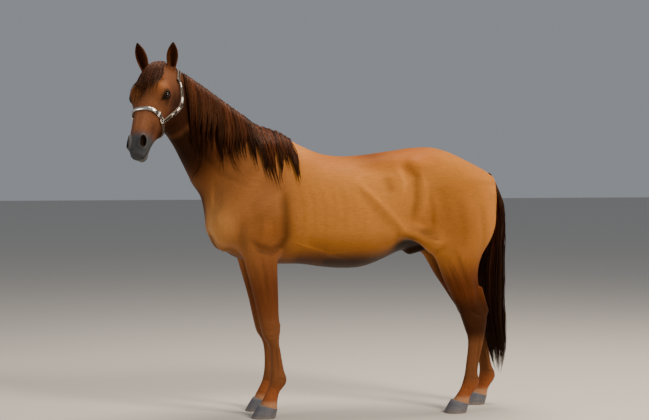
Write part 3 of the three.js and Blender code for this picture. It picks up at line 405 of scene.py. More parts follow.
skull = sweep(headTop, faceDown, faceOut, [
    [-6, -14, -120, -60, 0, 60, 2.2, 2.0],
    [38, 4, -165, -62, 0, 80, 2.3, 2.0],
    [85, 12, -215, -62, 0, 92, 2.4, 1.9],
    [135, 16, -250, -62, 0, 96, 2.5, 1.8],
    [190, 16, -266, -58, 0, 90, 2.6, 1.7],
    [240, 10, -262, -56, 0, 83, 2.6, 1.7],
    [290, 5, -240, -58, 0, 74, 2.5, 1.8],
    [343, 1, -206, -60, 0, 65, 2.4, 1.9],
    [395, -2, -173, -60, 0, 58, 2.3, 2.0],
    [447, -4, -150, -60, 0, 53, 2.3, 2.1],
    [495, -10, -137, -62, 0, 50, 2.3, 2.2],
    [532, -24, -130, -68, 0, 46, 2.2, 2.2],
    [558, -44, -116, -78, 0, 37, 2.1, 2.1],
], 26, 14)
headMasses = [
    (mass((198, 68, -22), (52, 36, 36), (1, 0.1, -0.1)), 34),          # brow
    (mass((172, 46, -160), (100, 35, 88), (1, -0.08, 0.1)), 30),       # cheek
    (bar((205, 84, -48), (325, 56, -62), 15, 9), 20),                  # cheek bone
    (mass((506, 36, -36), (37, 17, 30), (1, 0.1, -0.4)), 16),          # nostril
    (mass((530, 0, -124), (28, 27, 23)), 18),                          # chin
]


def headLocal(p):
    local = (p - headTop) @ headAxes
    return local * (1, 1, 1)


def headDistance(p):
    local = headLocal(p)
    return blendAll(skull(p), headMasses, np.abs(local) * (0, 1, 0) + local * (1, 0, 1))


softJoins = {"fore": 46, "hind": 50, "neck": 90, "head": 50}


def bodyDistance(p):
    x, z = p[:, 0], p[:, 2]
    mirrored = np.abs(p) * (0, 1, 0) + p * (1, 0, 1)
    d = barrel(p)

    def join(near, shape, width):
        if near.any():
            d[near] = blend(d[near], shape(p[near]), width)
    for near, masses in ((x < -150, foreMuscles), (x > 150, hindMuscles)):
        if near.any():
            d[near] = blendAll(d[near], masses, mirrored[near])
    front = x < -100
    for side in ("left", "right"):
        join(front & (z < 1250), lambda q: legDistance("fore", side, q), softJoins["fore"])
    join(front & (z > 900), neckDistance, softJoins["neck"])
    join(front & (z > 1250), headDistance, softJoins["head"])
    for side in ("left", "right"):
        join((x > 350) & (z < 1420), lambda q: legDistance("hind", side, q), softJoins["hind"])
    return d


# ears: scoops that grow out of the head

ears = {
    "left": {"tip": (-804, -306, 1957), "faces": 22},
    "right": {"tip": (-984, -262, 1953), "faces": 8},
    "halfWidth": 30.0, "wall": 5.4, "hair": 0.8, "hollowTo": 0.86,
}


def earFrame(side):
    sign = 1 if side == "left" else -1
    base = headPoint(26, 70 * sign, -52)
    tip = vec(*ears[side]["tip"])
    axis = unit(tip - base)
    turn = math.radians(ears[side]["faces"])
    forward = vec(*heading) * math.cos(turn) + headLeft * math.sin(turn)
    opening = unit(forward - axis * (forward @ axis))
    return base, axis, np.cross(axis, opening), opening, np.linalg.norm(tip - base)


earWidths = smoothTable([
    [0, 0.66], [18, 0.80], [40, 0.98], [55, 1], [72, 0.84], [85, 0.55], [94, 0.27], [98, 0.13],
    [100, 0.04]], 1)


def earDistance(side, p, wall):
    base, axis, across, opening, length = earFrame(side)
    d = p - base
    t, a, o = d @ axis, d @ across, d @ opening
    share = np.clip(t / length, 0, 1)
    half = ears["halfWidth"] * earWidths(share * 100)[0] - ears["hair"]
    half = np.maximum(half, 0.8)
    rim = np.hypot(a, o / 0.8) - half
    over = np.maximum(t - length + 3, 0)
    outer = np.where(over > 0, np.hypot(np.maximum(rim, 0), over), rim)
    outer = np.maximum(outer, -t - 30)
    inner = half - wall
    hollow = np.where(o > 0, np.abs(a) - inner, np.hypot(a, o / 0.8) - inner)
    hollow = np.maximum(hollow, 0.14 * length - t + 0.3 * np.maximum(-o, 0))
    hollow = np.maximum(hollow, t - ears["hollowTo"] * length)
    scoop = carve(outer, hollow, 2.5)
    return -blend(-scoop, -(o - half * 0.42), 3)          # the open side is cut back to a rim


# relief that the skin has beyond the solids: raised where positive, sunk where negative

sideRelief = [      # on both flanks, in (x, z); radius, height
    ([(-224, 1195), (-217, 1060), (-214, 960), (-232, 905)], 24, -15),      # behind the triceps
    ([(-400, 940), (-350, 898), (-290, 884), (-240, 905), (-218, 950)], 20, -13),   # under the triceps
    ([(-350, 985), (-280, 975)], 48, 9),                        # the triceps' own belly
    ([(-330, 1380), (-430, 1240), (-520, 1100)], 44, -3.5),     # front edge of the shoulder
    ([(-250, 1310), (-330, 1180), (-420, 1070)], 42, -5),       # between blade and triceps
    ([(-270, 1130), (-345, 1060), (-395, 1010)], 28, -3.5),     # the triceps' own parting
    ([(-442, 1050), (-450, 950), (-425, 880)], 26, -7),         # below the point of the shoulder
    ([(-170, 925), (-60, 888), (20, 862), (130, 832)], 8, 4),   # vein along the belly
    ([(20, 862), (60, 870), (110, 862)], 6, 2.5),
    ([(160, 1240), (310, 1100), (445, 968)], 16, 6),            # fold from flank to stifle
    ([(150, 1200), (285, 1062), (410, 950)], 24, -5),
    ([(318, 1265), (338, 1170)], 30, -9),                       # hollow of the flank
    ([(380, 1315), (412, 1240), (402, 1160)], 17, 6),           # hip
    ([(440, 1300), (474, 1262), (478, 1150), (460, 1010)], 20, -10),        # behind the hip
    ([(500, 1310), (532, 1180), (518, 1050)], 18, 4.5),
    ([(548, 1190), (568, 1100), (574, 990)], 15, -4),
    ([(610, 1230), (640, 1040)], 26, -3),
    ([(812, 1160), (838, 1085), (852, 930), (838, 815)], 18, -5),   # between the hamstrings
    ([(700, 1150), (738, 1000), (728, 870)], 24, -4),
    ([(600, 940), (592, 905)], 26, 5),                          # knee cap
    ([(650, 900), (600, 866), (566, 876)], 15, -5),
    ([(930, 1215), (925, 1160)], 28, 4),                        # point of the buttock
]
ribRelief = {"count": 9, "first": -130, "step": 52, "height": -1.6, "radius": 13}
for k in range(ribRelief["count"]):
    ribAt = ribRelief["first"] + ribRelief["step"] * k
    sideRelief.append(([(ribAt - 26, 1265), (ribAt + 6, 1120), (ribAt + 8, 985), (ribAt - 20, 900)],
                       ribRelief["radius"], ribRelief["height"] * (1 - 0.07 * k)))
legRelief = {       # in a leg's own (x, z), on its inside and outside
    "fore": [
        ([(-345, 860), (-318, 740), (-300, 610)], 10, -4.5),    # between the forearm's muscles
        ([(-392, 840), (-356, 700), (-330, 580)], 9, -3),
        ([(-285, 800), (-268, 690), (-262, 590)], 9, -3),
        ([(-372, 760), (-345, 640), (-322, 540)], 4.5, 2),      # vein
        ([(-256, 385), (-250, 300), (-246, 235)], 6, -5),       # beside the tendons
        ([(-236, 372), (-228, 300), (-224, 250)], 4, 1.6),
        ([(-330, 470), (-285, 466), (-240, 470)], 5, -2),       # rows of bones in the knee
        ([(-322, 436), (-282, 432), (-240, 440)], 5, -2),
        ([(-300, 505), (-262, 500)], 12, 2.5),
        ([(-236, 500), (-232, 478)], 11, 4),
        ([(-250, 214), (-226, 204), (-206, 196)], 6, -2.5),     # fetlock
        ([(-288, 168), (-250, 160)], 6, -2),
        ([(-312, 116), (-268, 108)], 7, 1.6),
    ],
    "hind": [
        ([(690, 880), (735, 770), (778, 670)], 12, -5),         # along the gaskin
        ([(660, 800), (705, 700), (745, 610)], 8, -3),
        ([(812, 720), (836, 640), (850, 575)], 15, -9),         # in front of the great tendon
        ([(655, 860), (712, 760), (762, 640), (790, 560)], 4.5, 2.4),   # vein
        ([(745, 545), (770, 500), (800, 470)], 12, 3),          # bones of the hock
        ([(790, 560), (830, 530), (862, 520)], 9, -3.5),
        ([(770, 455), (815, 450), (870, 462)], 5, -2),
        ([(850, 400), (842, 300), (834, 225)], 6, -5),          # beside the tendons
        ([(868, 380), (858, 300), (850, 240)], 4, 1.6),
        ([(800, 190), (826, 180), (848, 176)], 6, -2.5),        # fetlock
        ([(764, 140), (800, 130)], 6, -2),
        ([(735, 100), (778, 90)], 7, 1.6),
    ],
}
neckRelief = [      # in the neck's (s, towards the crest), on both sides
    ([(-60, -150), (90, -128), (260, -122), (420, -118), (560, -112)], 15, -7),     # jugular groove
    ([(-80, 60), (60, 14), (250, -30), (470, -34)], 24, -4),
    ([(30, 130), (250, 112), (430, 84), (540, 60)], 26, -4),
    ([(-40, -40), (120, -66), (300, -78), (470, -80)], 20, 2.5),
    ([(520, 60), (505, 0), (500, -60), (508, -120)], 8, -3),    # creases behind the jaw
    ([(492, 40), (474, -20), (470, -80)], 7, -2),
]
faceRelief = [      # in the head's (down, left, out), mirrored to the right
    ([(122, 50, 2), (168, 66, -10)], 20, -6),                   # hollow above the eye
    ([(232, 90, -66), (290, 72, -76), (345, 60, -82)], 7, 2),   # facial crest
    ([(240, 86, -96), (300, 72, -104), (350, 60, -108)], 15, -4),
    ([(262, 70, -30), (310, 54, -28), (365, 46, -32)], 17, -3.5),
    ([(300, 24, 4), (380, 20, 0), (450, 16, -6)], 10, 1.4),     # nose bone
    ([(355, 58, -96), (400, 53, -84), (440, 51, -60)], 4, 1.8),     # vein
    ([(355, 58, -96), (395, 54, -108), (430, 50, -116)], 3.5, 1.4),
    ([(250, 40, -252), (300, 30, -228), (345, 26, -200)], 8, -3),   # jaw bone's lower edge
    ([(120, 84, -120), (180, 88, -112), (236, 86, -118)], 10, -3),
    ([(92, 74, -40), (120, 82, -58), (136, 86, -84)], 9, -3.5),
    ([(452, 42, -44), (476, 42, -50)], 9, 2),                   # false nostril
    ([(440, 44, -92), (452, 46, -104), (462, 46, -118)], 3.2, -1.4),    # creases by the mouth
    ([(426, 47, -92), (438, 49, -106), (446, 47, -122)], 3.2, -1.1),
    ([(478, 0, -140), (482, 16, -138), (476, 30, -130)], 12, -5),   # groove behind the chin
    ([(232, 88, -2), (246, 78, 2), (262, 66, 4)], 5, -1.6),     # below the eye's inner corner
    ([(228, 98, -44), (246, 94, -46), (262, 84, -46)], 4, -1.4),
]
eye = {
    "place": vec(212, 88, -35), "ball": 22.4, "lid": 25.4, "halfLength": 24, "upper": 15, "lower": 12,
    "looks": vec(0.12, 0.82, 0.44), "slit": vec(0.88, 0, 0.47),
}
eyeOut = unit(eye["looks"])
eyeAlong = unit(eye["slit"] - eyeOut * (eye["slit"] @ eyeOut))
eyeUp = np.cross(eyeOut, eyeAlong)
eyeUp = eyeUp if eyeUp[2] > 0 else -eyeUp
nostril = {"place": vec(508, 46, -20), "radii": (32, 16, 15), "long": (1, -0.16, -0.45)}
nostrilMass = mass(nostril["place"], nostril["radii"], nostril["long"])


def toPath(p, points, shares=False):
    # distance to a line of points, in as many dimensions as the points have, and the share along it
    best, share = None, None
    lengths = [math.dist(a, b) for a, b in zip(points, points[1:])]
    for k, (a, b) in enumerate(zip(points, points[1:])):
        away, part = toSegment(p, vec(*a), vec(*b))
        here = (sum(lengths[:k]) + part * lengths[k]) / sum(lengths)
        if best is None:
            best, share = away, here
        else:
            share = np.where(away < best, here, share)
            best = np.minimum(best, away)
    return (best, share) if shares else best


def relief(p, strokes):
    total = np.zeros(len(p))
    for points, radius, height in strokes:
        reach = 2.4 * radius
        corners = vec(*points)
        near = ((p > corners.min(0) - reach) & (p < corners.max(0) + reach)).all(1)
        if near.any():
            away, share = toPath(p[near], points, True)
            fade = soft(-0.12, 0.3, share) * soft(1.12, 0.7, share)
            total[near] += height * fade * np.exp(-(away / radius) ** 2)
    return total


def eyeCoordinates(local):
    d = local - eye["place"]
    return d @ eyeAlong, d @ eyeUp, d @ eyeOut


def lidEdge(u, v):
    # how far a place lies outside the slit between the lids
    half = np.where(v > 0, eye["upper"], eye["lower"])
    bow = half * (1 - (u / eye["halfLength"]) ** 2)
    return np.maximum((np.abs(v) - bow) * 0.8, np.abs(u) - eye["halfLength"])


def mouthLine(local):
    return toPath(local[:, [0, 2]], [(566, -86), (530, -87), (500, -91), (466, -101)])


def faceDetail(d, local):
    # lids, nostrils and mouth, carved into the head
    d = d - relief(local, faceRelief)
    u, v, w = eyeCoordinates(local)
    near = (np.abs(u) < 60) & (np.abs(v) < 60) & (w > -30)
    if near.any():
        a, b, c = u[near], v[near], w[near]
        here = d[near]
        lids = np.sqrt((a / 1.08) ** 2 + (b * 1.02) ** 2 + c * c) - eye["lid"]
        here = blend(here, lids, 9)
        fold = b - 20 * (1 - (a / 40) ** 2)
        here += 2.2 * np.exp(-(fold / 2.6) ** 2) * np.exp(-(a / 24) ** 4)
        fold = b - 27 * (1 - (a / 46) ** 2) - 1
        here += 1.3 * np.exp(-(fold / 2.4) ** 2) * np.exp(-(a / 22) ** 4)
        fold = b + 17 * (1 - (a / 38) ** 2)
        here += 1.5 * np.exp(-(fold / 2.4) ** 2) * np.exp(-(a / 20) ** 4)
        socket = np.maximum(lidEdge(a, b), -c)
        d[near] = carve(here, socket, 2.2)
    near = (local[:, 0] > 440) & (local[:, 1] > 14)
    if near.any():
        hole = nostrilMass(local[near])
        here = d[near] - 2.0 * np.exp(-((hole - 4.5) / 3.5) ** 2)      # its rim
        d[near] = carve(here, hole, 3)
    near = local[:, 0] > 440
    if near.any():
        q = local[near]
        d[near] += 3.2 * np.exp(-(mouthLine(q) / 2.0) ** 2) * soft(455, 470, q[:, 0])
        d[near] -= 1.2 * np.exp(-((mouthLine(q) - 8) / 5) ** 2) * soft(455, 480, q[:, 0])
    return d


coat = {"body": 4.6, "legs": 1.8, "face": 1.7}      # how deep the skin lies in the frame's flesh


def headShare(p):
    local = headLocal(p)
    throat = local[:, 0] - 0.55 * (local[:, 2] + 110) * (local[:, 2] < -110)
    return soft(-30, 60, throat) * soft(-340, -285, local[:, 2])


def legShare(p):
    return 1 - soft(600, 860, p[:, 2])


def coatDepth(p):
    depth = mix(coat["body"], coat["legs"], legShare(p))
    return mix(depth, coat["face"], headShare(p))


def reliefAt(p):
    # every raised and sunk line of trunk, legs and neck
    total = np.zeros(len(p))
    side = soft(40, 110, np.abs(p[:, 1]))
    part = (p[:, 0] > -620) & (side > 0)
    if part.any():
        q = p[part]
        onNeck = soft(60, 200, (q - neckStart) @ neckAxis + 60)
        total[part] += relief(q[:, [0, 2]], sideRelief) * side[part] * (1 - onNeck)
    for pair, strokes in legRelief.items():
        for name, sign in (("left", -1), ("right", 1)):
            part = (p[:, 1] * sign > 20) & (p[:, 2] < 960)
            part &= (p[:, 0] < -100) if pair == "fore" else (p[:, 0] > 480)
            if part.any():
                total[part] += relief(legLocal(pair, name, p[part])[:, [0, 2]], strokes)
    part = (p[:, 0] < -200) & (p[:, 2] > 1000)
    if part.any():
        q = p[part]
        local = neckLocal(q)
        share = (1 - headShare(q)) * soft(20, 60, np.abs(local[:, 2])) * soft(-160, 40, local[:, 0])
        total[part] += relief(local[:, :2], neckRelief) * share
    return total


def skinDistance(p, wall=ears["wall"], fine=True):
    d = bodyDistance(p) + coatDepth(p)
    if fine:
        d -= reliefAt(p)
    part = (p[:, 0] < -640) & (p[:, 2] > 1280)
    if part.any():
        q = p[part]
        here = d[part]
        if fine:
            local = headLocal(q)
            local[:, 1] = np.abs(local[:, 1])
            here = faceDetail(here, local)
        for side in ("left", "right"):
            near = q[:, 2] > 1760
            if near.any():
                here[near] = blend(here[near], earDistance(side, q[near], wall), 12)
        d[part] = here
    return d


# a closed mesh from a distance

def surfaceNet(distance, low, high, spacing, levels=3):
    # cells are halved only where the surface may pass through them
    low, high = vec(*low), vec(*high)
    step = spacing * 2 ** levels
    counts = np.ceil((high - low) / step).astype(int)
    cells = np.stack(np.meshgrid(*[np.arange(c) for c in counts], indexing="ij"), -1).reshape(-1, 3)
    corners = np.array([(i, j, k) for i in (0, 1) for j in (0, 1) for k in (0, 1)])
    for level in range(levels + 1):
        middle = low + (cells + 0.5) * step
        cells = cells[np.abs(distance(middle)) < step * 0.866 * 1.7 + 6]
        if level < levels:
            cells = (cells[:, None] * 2 + corners[None]).reshape(-1, 3)
            step /= 2
    size = counts * 2 ** levels + 2

    def code(c):
        return (c[..., 0] * size[1] + c[..., 1]) * size[2] + c[..., 2]
    cornerCodes = code(cells[:, None] + corners[None])
    known, place = np.unique(cornerCodes, return_inverse=True)
    place = place.reshape(cornerCodes.shape)
    k = known % size[2]
    j = (known // size[2]) % size[1]
    i = known // (size[1] * size[2])
    value = distance(low + np.stack([i, j, k], 1) * spacing)
    value[value == 0] = 1e-6
    at = value[place]
    mixed = (at < 0).any(1) & (at > 0).any(1)
    cells, at = cells[mixed], at[mixed]
    order = np.argsort(code(cells))
    cells, at = cells[order], at[order]
    codes = code(cells)
    total = np.zeros((len(cells), 3))
    hits = np.zeros(len(cells))
    for a in range(8):
        for b in range(a + 1, 8):
            if np.abs(corners[a] - corners[b]).sum() == 1:
                crossing = (at[:, a] < 0) != (at[:, b] < 0)
                t = at[:, a] / np.where(crossing, at[:, a] - at[:, b], 1)
                total += np.where(crossing[:, None], mix(corners[a], corners[b], t[:, None]), 0)
                hits += crossing
    points = low + (cells + total / hits[:, None]) * spacing
    quads = []
    others = {0: [(0, -1, 0), (0, -1, -1), (0, 0, -1)], 1: [(0, 0, -1), (-1, 0, -1), (-1, 0, 0)],
              2: [(-1, 0, 0), (-1, -1, 0), (0, -1, 0)]}
    for axis, steps in others.items():
        end = {0: 4, 1: 2, 2: 1}[axis]
        edge = (at[:, 0] < 0) != (at[:, end] < 0)
        own = np.nonzero(edge)[0]
        ring = [own]
        good = np.ones(len(own), bool)
        for s in steps:
            wanted = code(cells[own] + np.array(s))
            found = np.clip(np.searchsorted(codes, wanted), 0, len(codes) - 1)
            good &= codes[found] == wanted
            ring.append(found)
        quad = np.stack(ring, 1)[good]
        outward = at[own[good], 0] < 0
        quads.append(np.where(outward[:, None], quad[:, ::-1], quad))
    return points, np.concatenate(quads)


def slope(distance, points, step=0.6):
    base = distance(points)
    out = np.empty_like(points)
    for c in range(3):
        moved = points.copy()
        moved[:, c] += step
        out[:, c] = (distance(moved) - base) / step
    return base, out


def settle(distance, points, times=2, most=4.0):
    # draws points onto the surface
    for _ in range(times):
        d, g = slope(distance, points)
        g /= np.maximum((g * g).sum(1), 0.2)[:, None]
        move = -d[:, None] * g
        length = np.linalg.norm(move, axis=1, keepdims=True)
        points = points + move * np.minimum(1, most / np.maximum(length, 1e-6))
    return points


def keepLargest(piece):
    # loose scraps of the net go
    bm = bmesh.new()
    bm.from_mesh(piece.data)
    bm.verts.ensure_lookup_table()
    group = np.full(len(bm.verts), -1)
    sizes = []
    for start in bm.verts:
        if group[start.index] >= 0:
            continue
        group[start.index] = len(sizes)
        stack, size = [start], 0
        while stack:
            v = stack.pop()
            size += 1
            for e in v.link_edges:
                w = e.other_vert(v)
                if group[w.index] < 0:
                    group[w.index] = len(sizes)
                    stack.append(w)
        sizes.append(size)
    if len(sizes) > 1:
        best = int(np.argmax(sizes))
        print("skin had", len(sizes), "parts of", sorted(sizes)[-4:])
        bmesh.ops.delete(bm, geom=[v for v in bm.verts if group[v.index] != best], context="VERTS")
        bm.to_mesh(piece.data)
    bm.free()


# camera, floor and light come first, so that any trial shows where things stand

view = {"at": (-1682, -8835, 1400), "tilt": 1.99, "turn": -11, "lens": 93.31}      # mm, and degrees


def makeCamera():
    data = bpy.data.cameras.new("camera")
    data.lens = view["lens"]
    data.sensor_width = 36
    data.clip_end = 60
    camera = linked("camera", data)
    camera.location = placed(view["at"])
    camera.rotation_euler = (math.radians(90 - view["tilt"]), 0, math.radians(view["turn"]))
    bpy.context.scene.camera = camera


def feed(tree, node, given):
    # whatever is given is a socket to link, stops for a ramp, a value for an input, or a setting
    for key, value in given.items():
        if isinstance(value, str) and value.startswith("#"):
            value = (*linear(value), 1)
        if isinstance(value, bpy.types.NodeSocket):
            tree.links.new(value, node.inputs[key])
        elif key == "stops":
            elements = node.color_ramp.elements
            while len(elements) < len(value):
                elements.new(0.5)
            for element, (at, colour) in zip(elements, value):
                element.position = at
                element.color = (*(linear(colour) if isinstance(colour, str) else [colour] * 3), 1)
        elif isinstance(key, int) or (key in node.inputs and not hasattr(node, key)):
            node.inputs[key].default_value = value
        else:
            setattr(node, key, value)


def addNode(tree, kind, given=None):
    node = tree.nodes.new(kind)
    feed(tree, node, given or {})
    return node


def newMaterial(name):
    material = bpy.data.materials.new(name)
    material.use_nodes = True
    tree = material.node_tree
    return material, tree, tree.nodes["Principled BSDF"]


def pattern(tree, place, scale, detail=3.0, turn=0.0):
    # noise at scale to the metre along each axis: strokes and patches
    turned = addNode(tree, "ShaderNodeMapping", {"Vector": place, "Scale": scale, "Rotation": (0, turn, 0)})
    return addNode(tree, "ShaderNodeTexNoise", {"Vector": turned.outputs["Vector"], "Scale": 1.0,
                                                "Detail": detail, "Roughness": 0.55}).outputs["Fac"]


def finishShader(tree, shader, reliefs, values):
    # layers of relief, each over the one before, and what the shader is given
    normal = {}
    for height, distance, strength in reliefs:
        layer = addNode(tree, "ShaderNodeBump", {"Height": height, "Distance": distance, "Strength": strength,
                                                 **normal})
        normal = {"Normal": layer.outputs["Normal"]}
    feed(tree, shader, {**values, **normal})


def newTree(name, inputs):
    # a Geometry Nodes tree with its named inputs
    tree = bpy.data.node_groups.new(name, "GeometryNodeTree")
    for label, kind in {"Geometry": "Geometry", **inputs, "Finish": "Material"}.items():
        tree.interface.new_socket(label, in_out="INPUT", socket_type=f"NodeSocket{kind}")
    tree.interface.new_socket("Geometry", in_out="OUTPUT", socket_type="NodeSocketGeometry")
    return tree, addNode(tree, "NodeGroupInput").outputs


def endTree(tree, given, geometry):
    # instances become real faces and take the finish
    whole = addNode(tree, "GeometryNodeRealizeInstances", {"Geometry": geometry})
    done = addNode(tree, "GeometryNodeSetMaterial", {"Geometry": whole.outputs["Geometry"],
                                                     "Material": given["Finish"]})
    addNode(tree, "NodeGroupOutput", {"Geometry": done.outputs["Geometry"]})
    return tree


def grow(piece, tree, values):
    # a tree's inputs are set by the identifiers of their sockets, and its result becomes a plain mesh
    modifier = piece.modifiers.new("grown", "NODES")
    modifier.node_group = tree
    for item in tree.interface.items_tree:
        if item.item_type == "SOCKET" and item.in_out == "INPUT" and item.name in values:
            modifier[item.identifier] = values[item.name]
    applyModifiers(piece)


def makeFloor():
    # matt pale paint, which keeps the eye on the horse
    material, tree, shader = newMaterial("mattPaleFloorPaint")
    feed(tree, shader, {"Base Color": "#c6c3bd", "Roughness": 0.9})
    size = 40.0
    corners = [(-size, -size, 0), (size, -size, 0), (size, size, 0), (-size, size, 0)]
    floor = meshObject("studio_floor", corners, [(0, 1, 2, 3)], material, smooth=False)


studio = {
    "world": "#dfe4ec", "worldStrength": 0.34, "aim": (0, 0, 1.05),
    "lamps": [      # name, place in metres, size, watts, colour
        ("key", (3.6, -4.8, 5.2), 1.9, 560, "#fff0dc"),
        ("top", (0.8, 1.0, 5.8), 3.0, 300, "#ffeeda"),
        ("front", (-5.6, -2.4, 2.6), 2.2, 100, "#fff2e0"),
        ("rim", (5.4, 0.6, 3.0), 2.2, 90, "#ffe9c8"),
    ],
}


def makeStudio():
    world = bpy.data.worlds.new("studio")
    world.use_nodes = True
    sky = world.node_tree.nodes["Background"]
    feed(world.node_tree, sky, {0: studio["world"], 1: studio["worldStrength"]})
    bpy.context.scene.world = world
    for name, place, size, watts, colour in studio["lamps"]:
        data = bpy.data.lights.new(name, "AREA")
        data.shape = "DISK"
        data.size = size
        data.energy = watts
        data.color = linear(colour)
        lamp = linked(name, data)
        lamp.location = place
        lamp.rotation_euler = (Vector(studio["aim"]) - Vector(place)).to_track_quat("-Z", "Y").to_euler()


makeCamera()
makeFloor()
makeStudio()
print("studio ready")


# the skin: one closed mesh in place of all the flesh

skinSize = {
    "grid": 5.0, "wall": 8.6, "from": (-1080, -620, 20),
    "to": (1020, 320, 1980), "bodyTriangles": 104000, "headTriangles": 88000,
}


def onHead(p):
    local = headLocal(p)
    return (headShare(p) > 0.25) | ((p[:, 2] > 1800) & (p[:, 0] < -700) & (local[:, 0] < 60))


def thin(piece, weights, wanted):
    # fewer triangles where the weights are one
    total = len(piece.data.polygons)
    if total <= wanted:
        return
    group = piece.vertex_groups.new(name="thinHere")
    for value in (0, 1):
        index = np.nonzero(weights > 0.5)[0] if value else np.nonzero(weights <= 0.5)[0]
        group.add([int(i) for i in index], value, "REPLACE")
    modifier = piece.modifiers.new("thin", "DECIMATE")
    modifier.ratio = wanted / total
    modifier.vertex_group = group.name
    modifier.vertex_group_factor = 1000
    applyModifiers(piece)
    piece.vertex_groups.clear()


def makeSkin():
    spacing = skinSize["grid"]
    points, quads = surfaceNet(lambda q: skinDistance(q, skinSize["wall"], spacing < 6), skinSize["from"],
                               skinSize["to"], spacing)
    points = settle(skinDistance, points)
    piece = quadObject("skin", points, quads)
    keepLargest(piece)
    bm = bmesh.new()
    bm.from_mesh(piece.data)
    centres = np.array([f.calc_center_median() for f in bm.faces])
    chosen = onHead(centres)
    bm.faces.ensure_lookup_table()
    edges = {e for i in np.nonzero(chosen)[0] for e in bm.faces[i].edges}
    bmesh.ops.subdivide_edges(bm, edges=list(edges), cuts=1, use_grid_fill=True)
    bmesh.ops.triangulate(bm, faces=bm.faces[:])
    bm.to_mesh(piece.data)
    bm.free()
    points = pointsOf(piece)
    near = onHead(points)
    points[near] = settle(skinDistance, points[near], 3, 2.5)
    piece.data.vertices.foreach_set("co", points.ravel())
    total = len(piece.data.polygons)
    centres = points[np.array([p.vertices[0] for p in piece.data.polygons])]
    headCount = int(onHead(centres).sum())
    print("skin before thinning:", total, "triangles,", headCount, "of them on the head")
    thin(piece, (~onHead(pointsOf(piece))).astype(float), headCount + skinSize["bodyTriangles"])
    thin(piece, onHead(pointsOf(piece)).astype(float), skinSize["headTriangles"] + skinSize["bodyTriangles"])
    piece.data.vertices.foreach_set("co", placed(pointsOf(piece)).ravel())
    piece.data.polygons.foreach_set("use_smooth", [True] * len(piece.data.polygons))
    return piece


skin = makeSkin()
print("skin:", len(skin.data.polygons), "faces")
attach(skin, "root")
fleshNodes = ["trunk", "neck", "head", "ear_left", "ear_right"]
fleshNodes += [f"{pair}_leg_{side}" for pair in ("fore", "hind") for side in ("left", "right")]
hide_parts(*fleshNodes)


# colour of the coat, with painted shade and a painted highlight in it, the same for the skin and the tufts
# over it

# the throat, belly, inner, groin, cheek, lower triceps and thigh tones are mostly painted shade, the breast
# tone a painted highlight; the neck and leg tones are partly the coat's own and partly painted shade
coatAndShadeTones = {
    "flank": "#ae7032", "back": "#a05a20", "croup": "#aa6c2c", "neck": "#432210", "shoulder": "#8d5930",
    "throat": "#1d0d06", "breastHighlight": "#cf9450", "bellyShade": "#30201a", "forearm": "#62361d", "gaskin": "#542a12",
    "hock": "#32190d", "cannon": "#704529", "pastern": "#8a4c2a", "coronet": "#b58a68",
    "face": "#6a412a", "brow": "#8a5226", "bridge": "#7a5038", "cheek": "#261109",
    "muzzle": "#353c42", "lip": "#56585a",
    "nostril": "#060505", "eyeSkinAndHollowShade": "#080605", "earTip": "#120906", "earInside": "#2b170c",
    "inner": "#2e180c", "sheathAndGroinShade": "#0d0705", "withers": "#bd7d3c", "loin": "#6a3410",
    "thighShade": "#7e4a20", "tricepsAndBarrelShade": "#6e3e18",
}


def tone(name):
    return np.array(linear(coatAndShadeTones[name]))


def toned(colour, name, amount):
    # moves the colour towards a tone by a share from 0 to 1
    return colour + (tone(name) - colour) * np.clip(amount, 0, 1)[:, None]


def spot(p, centre, radii):
    away = (((p - vec(*centre)) / vec(*radii)) ** 2).sum(1)
    return np.exp(-away)


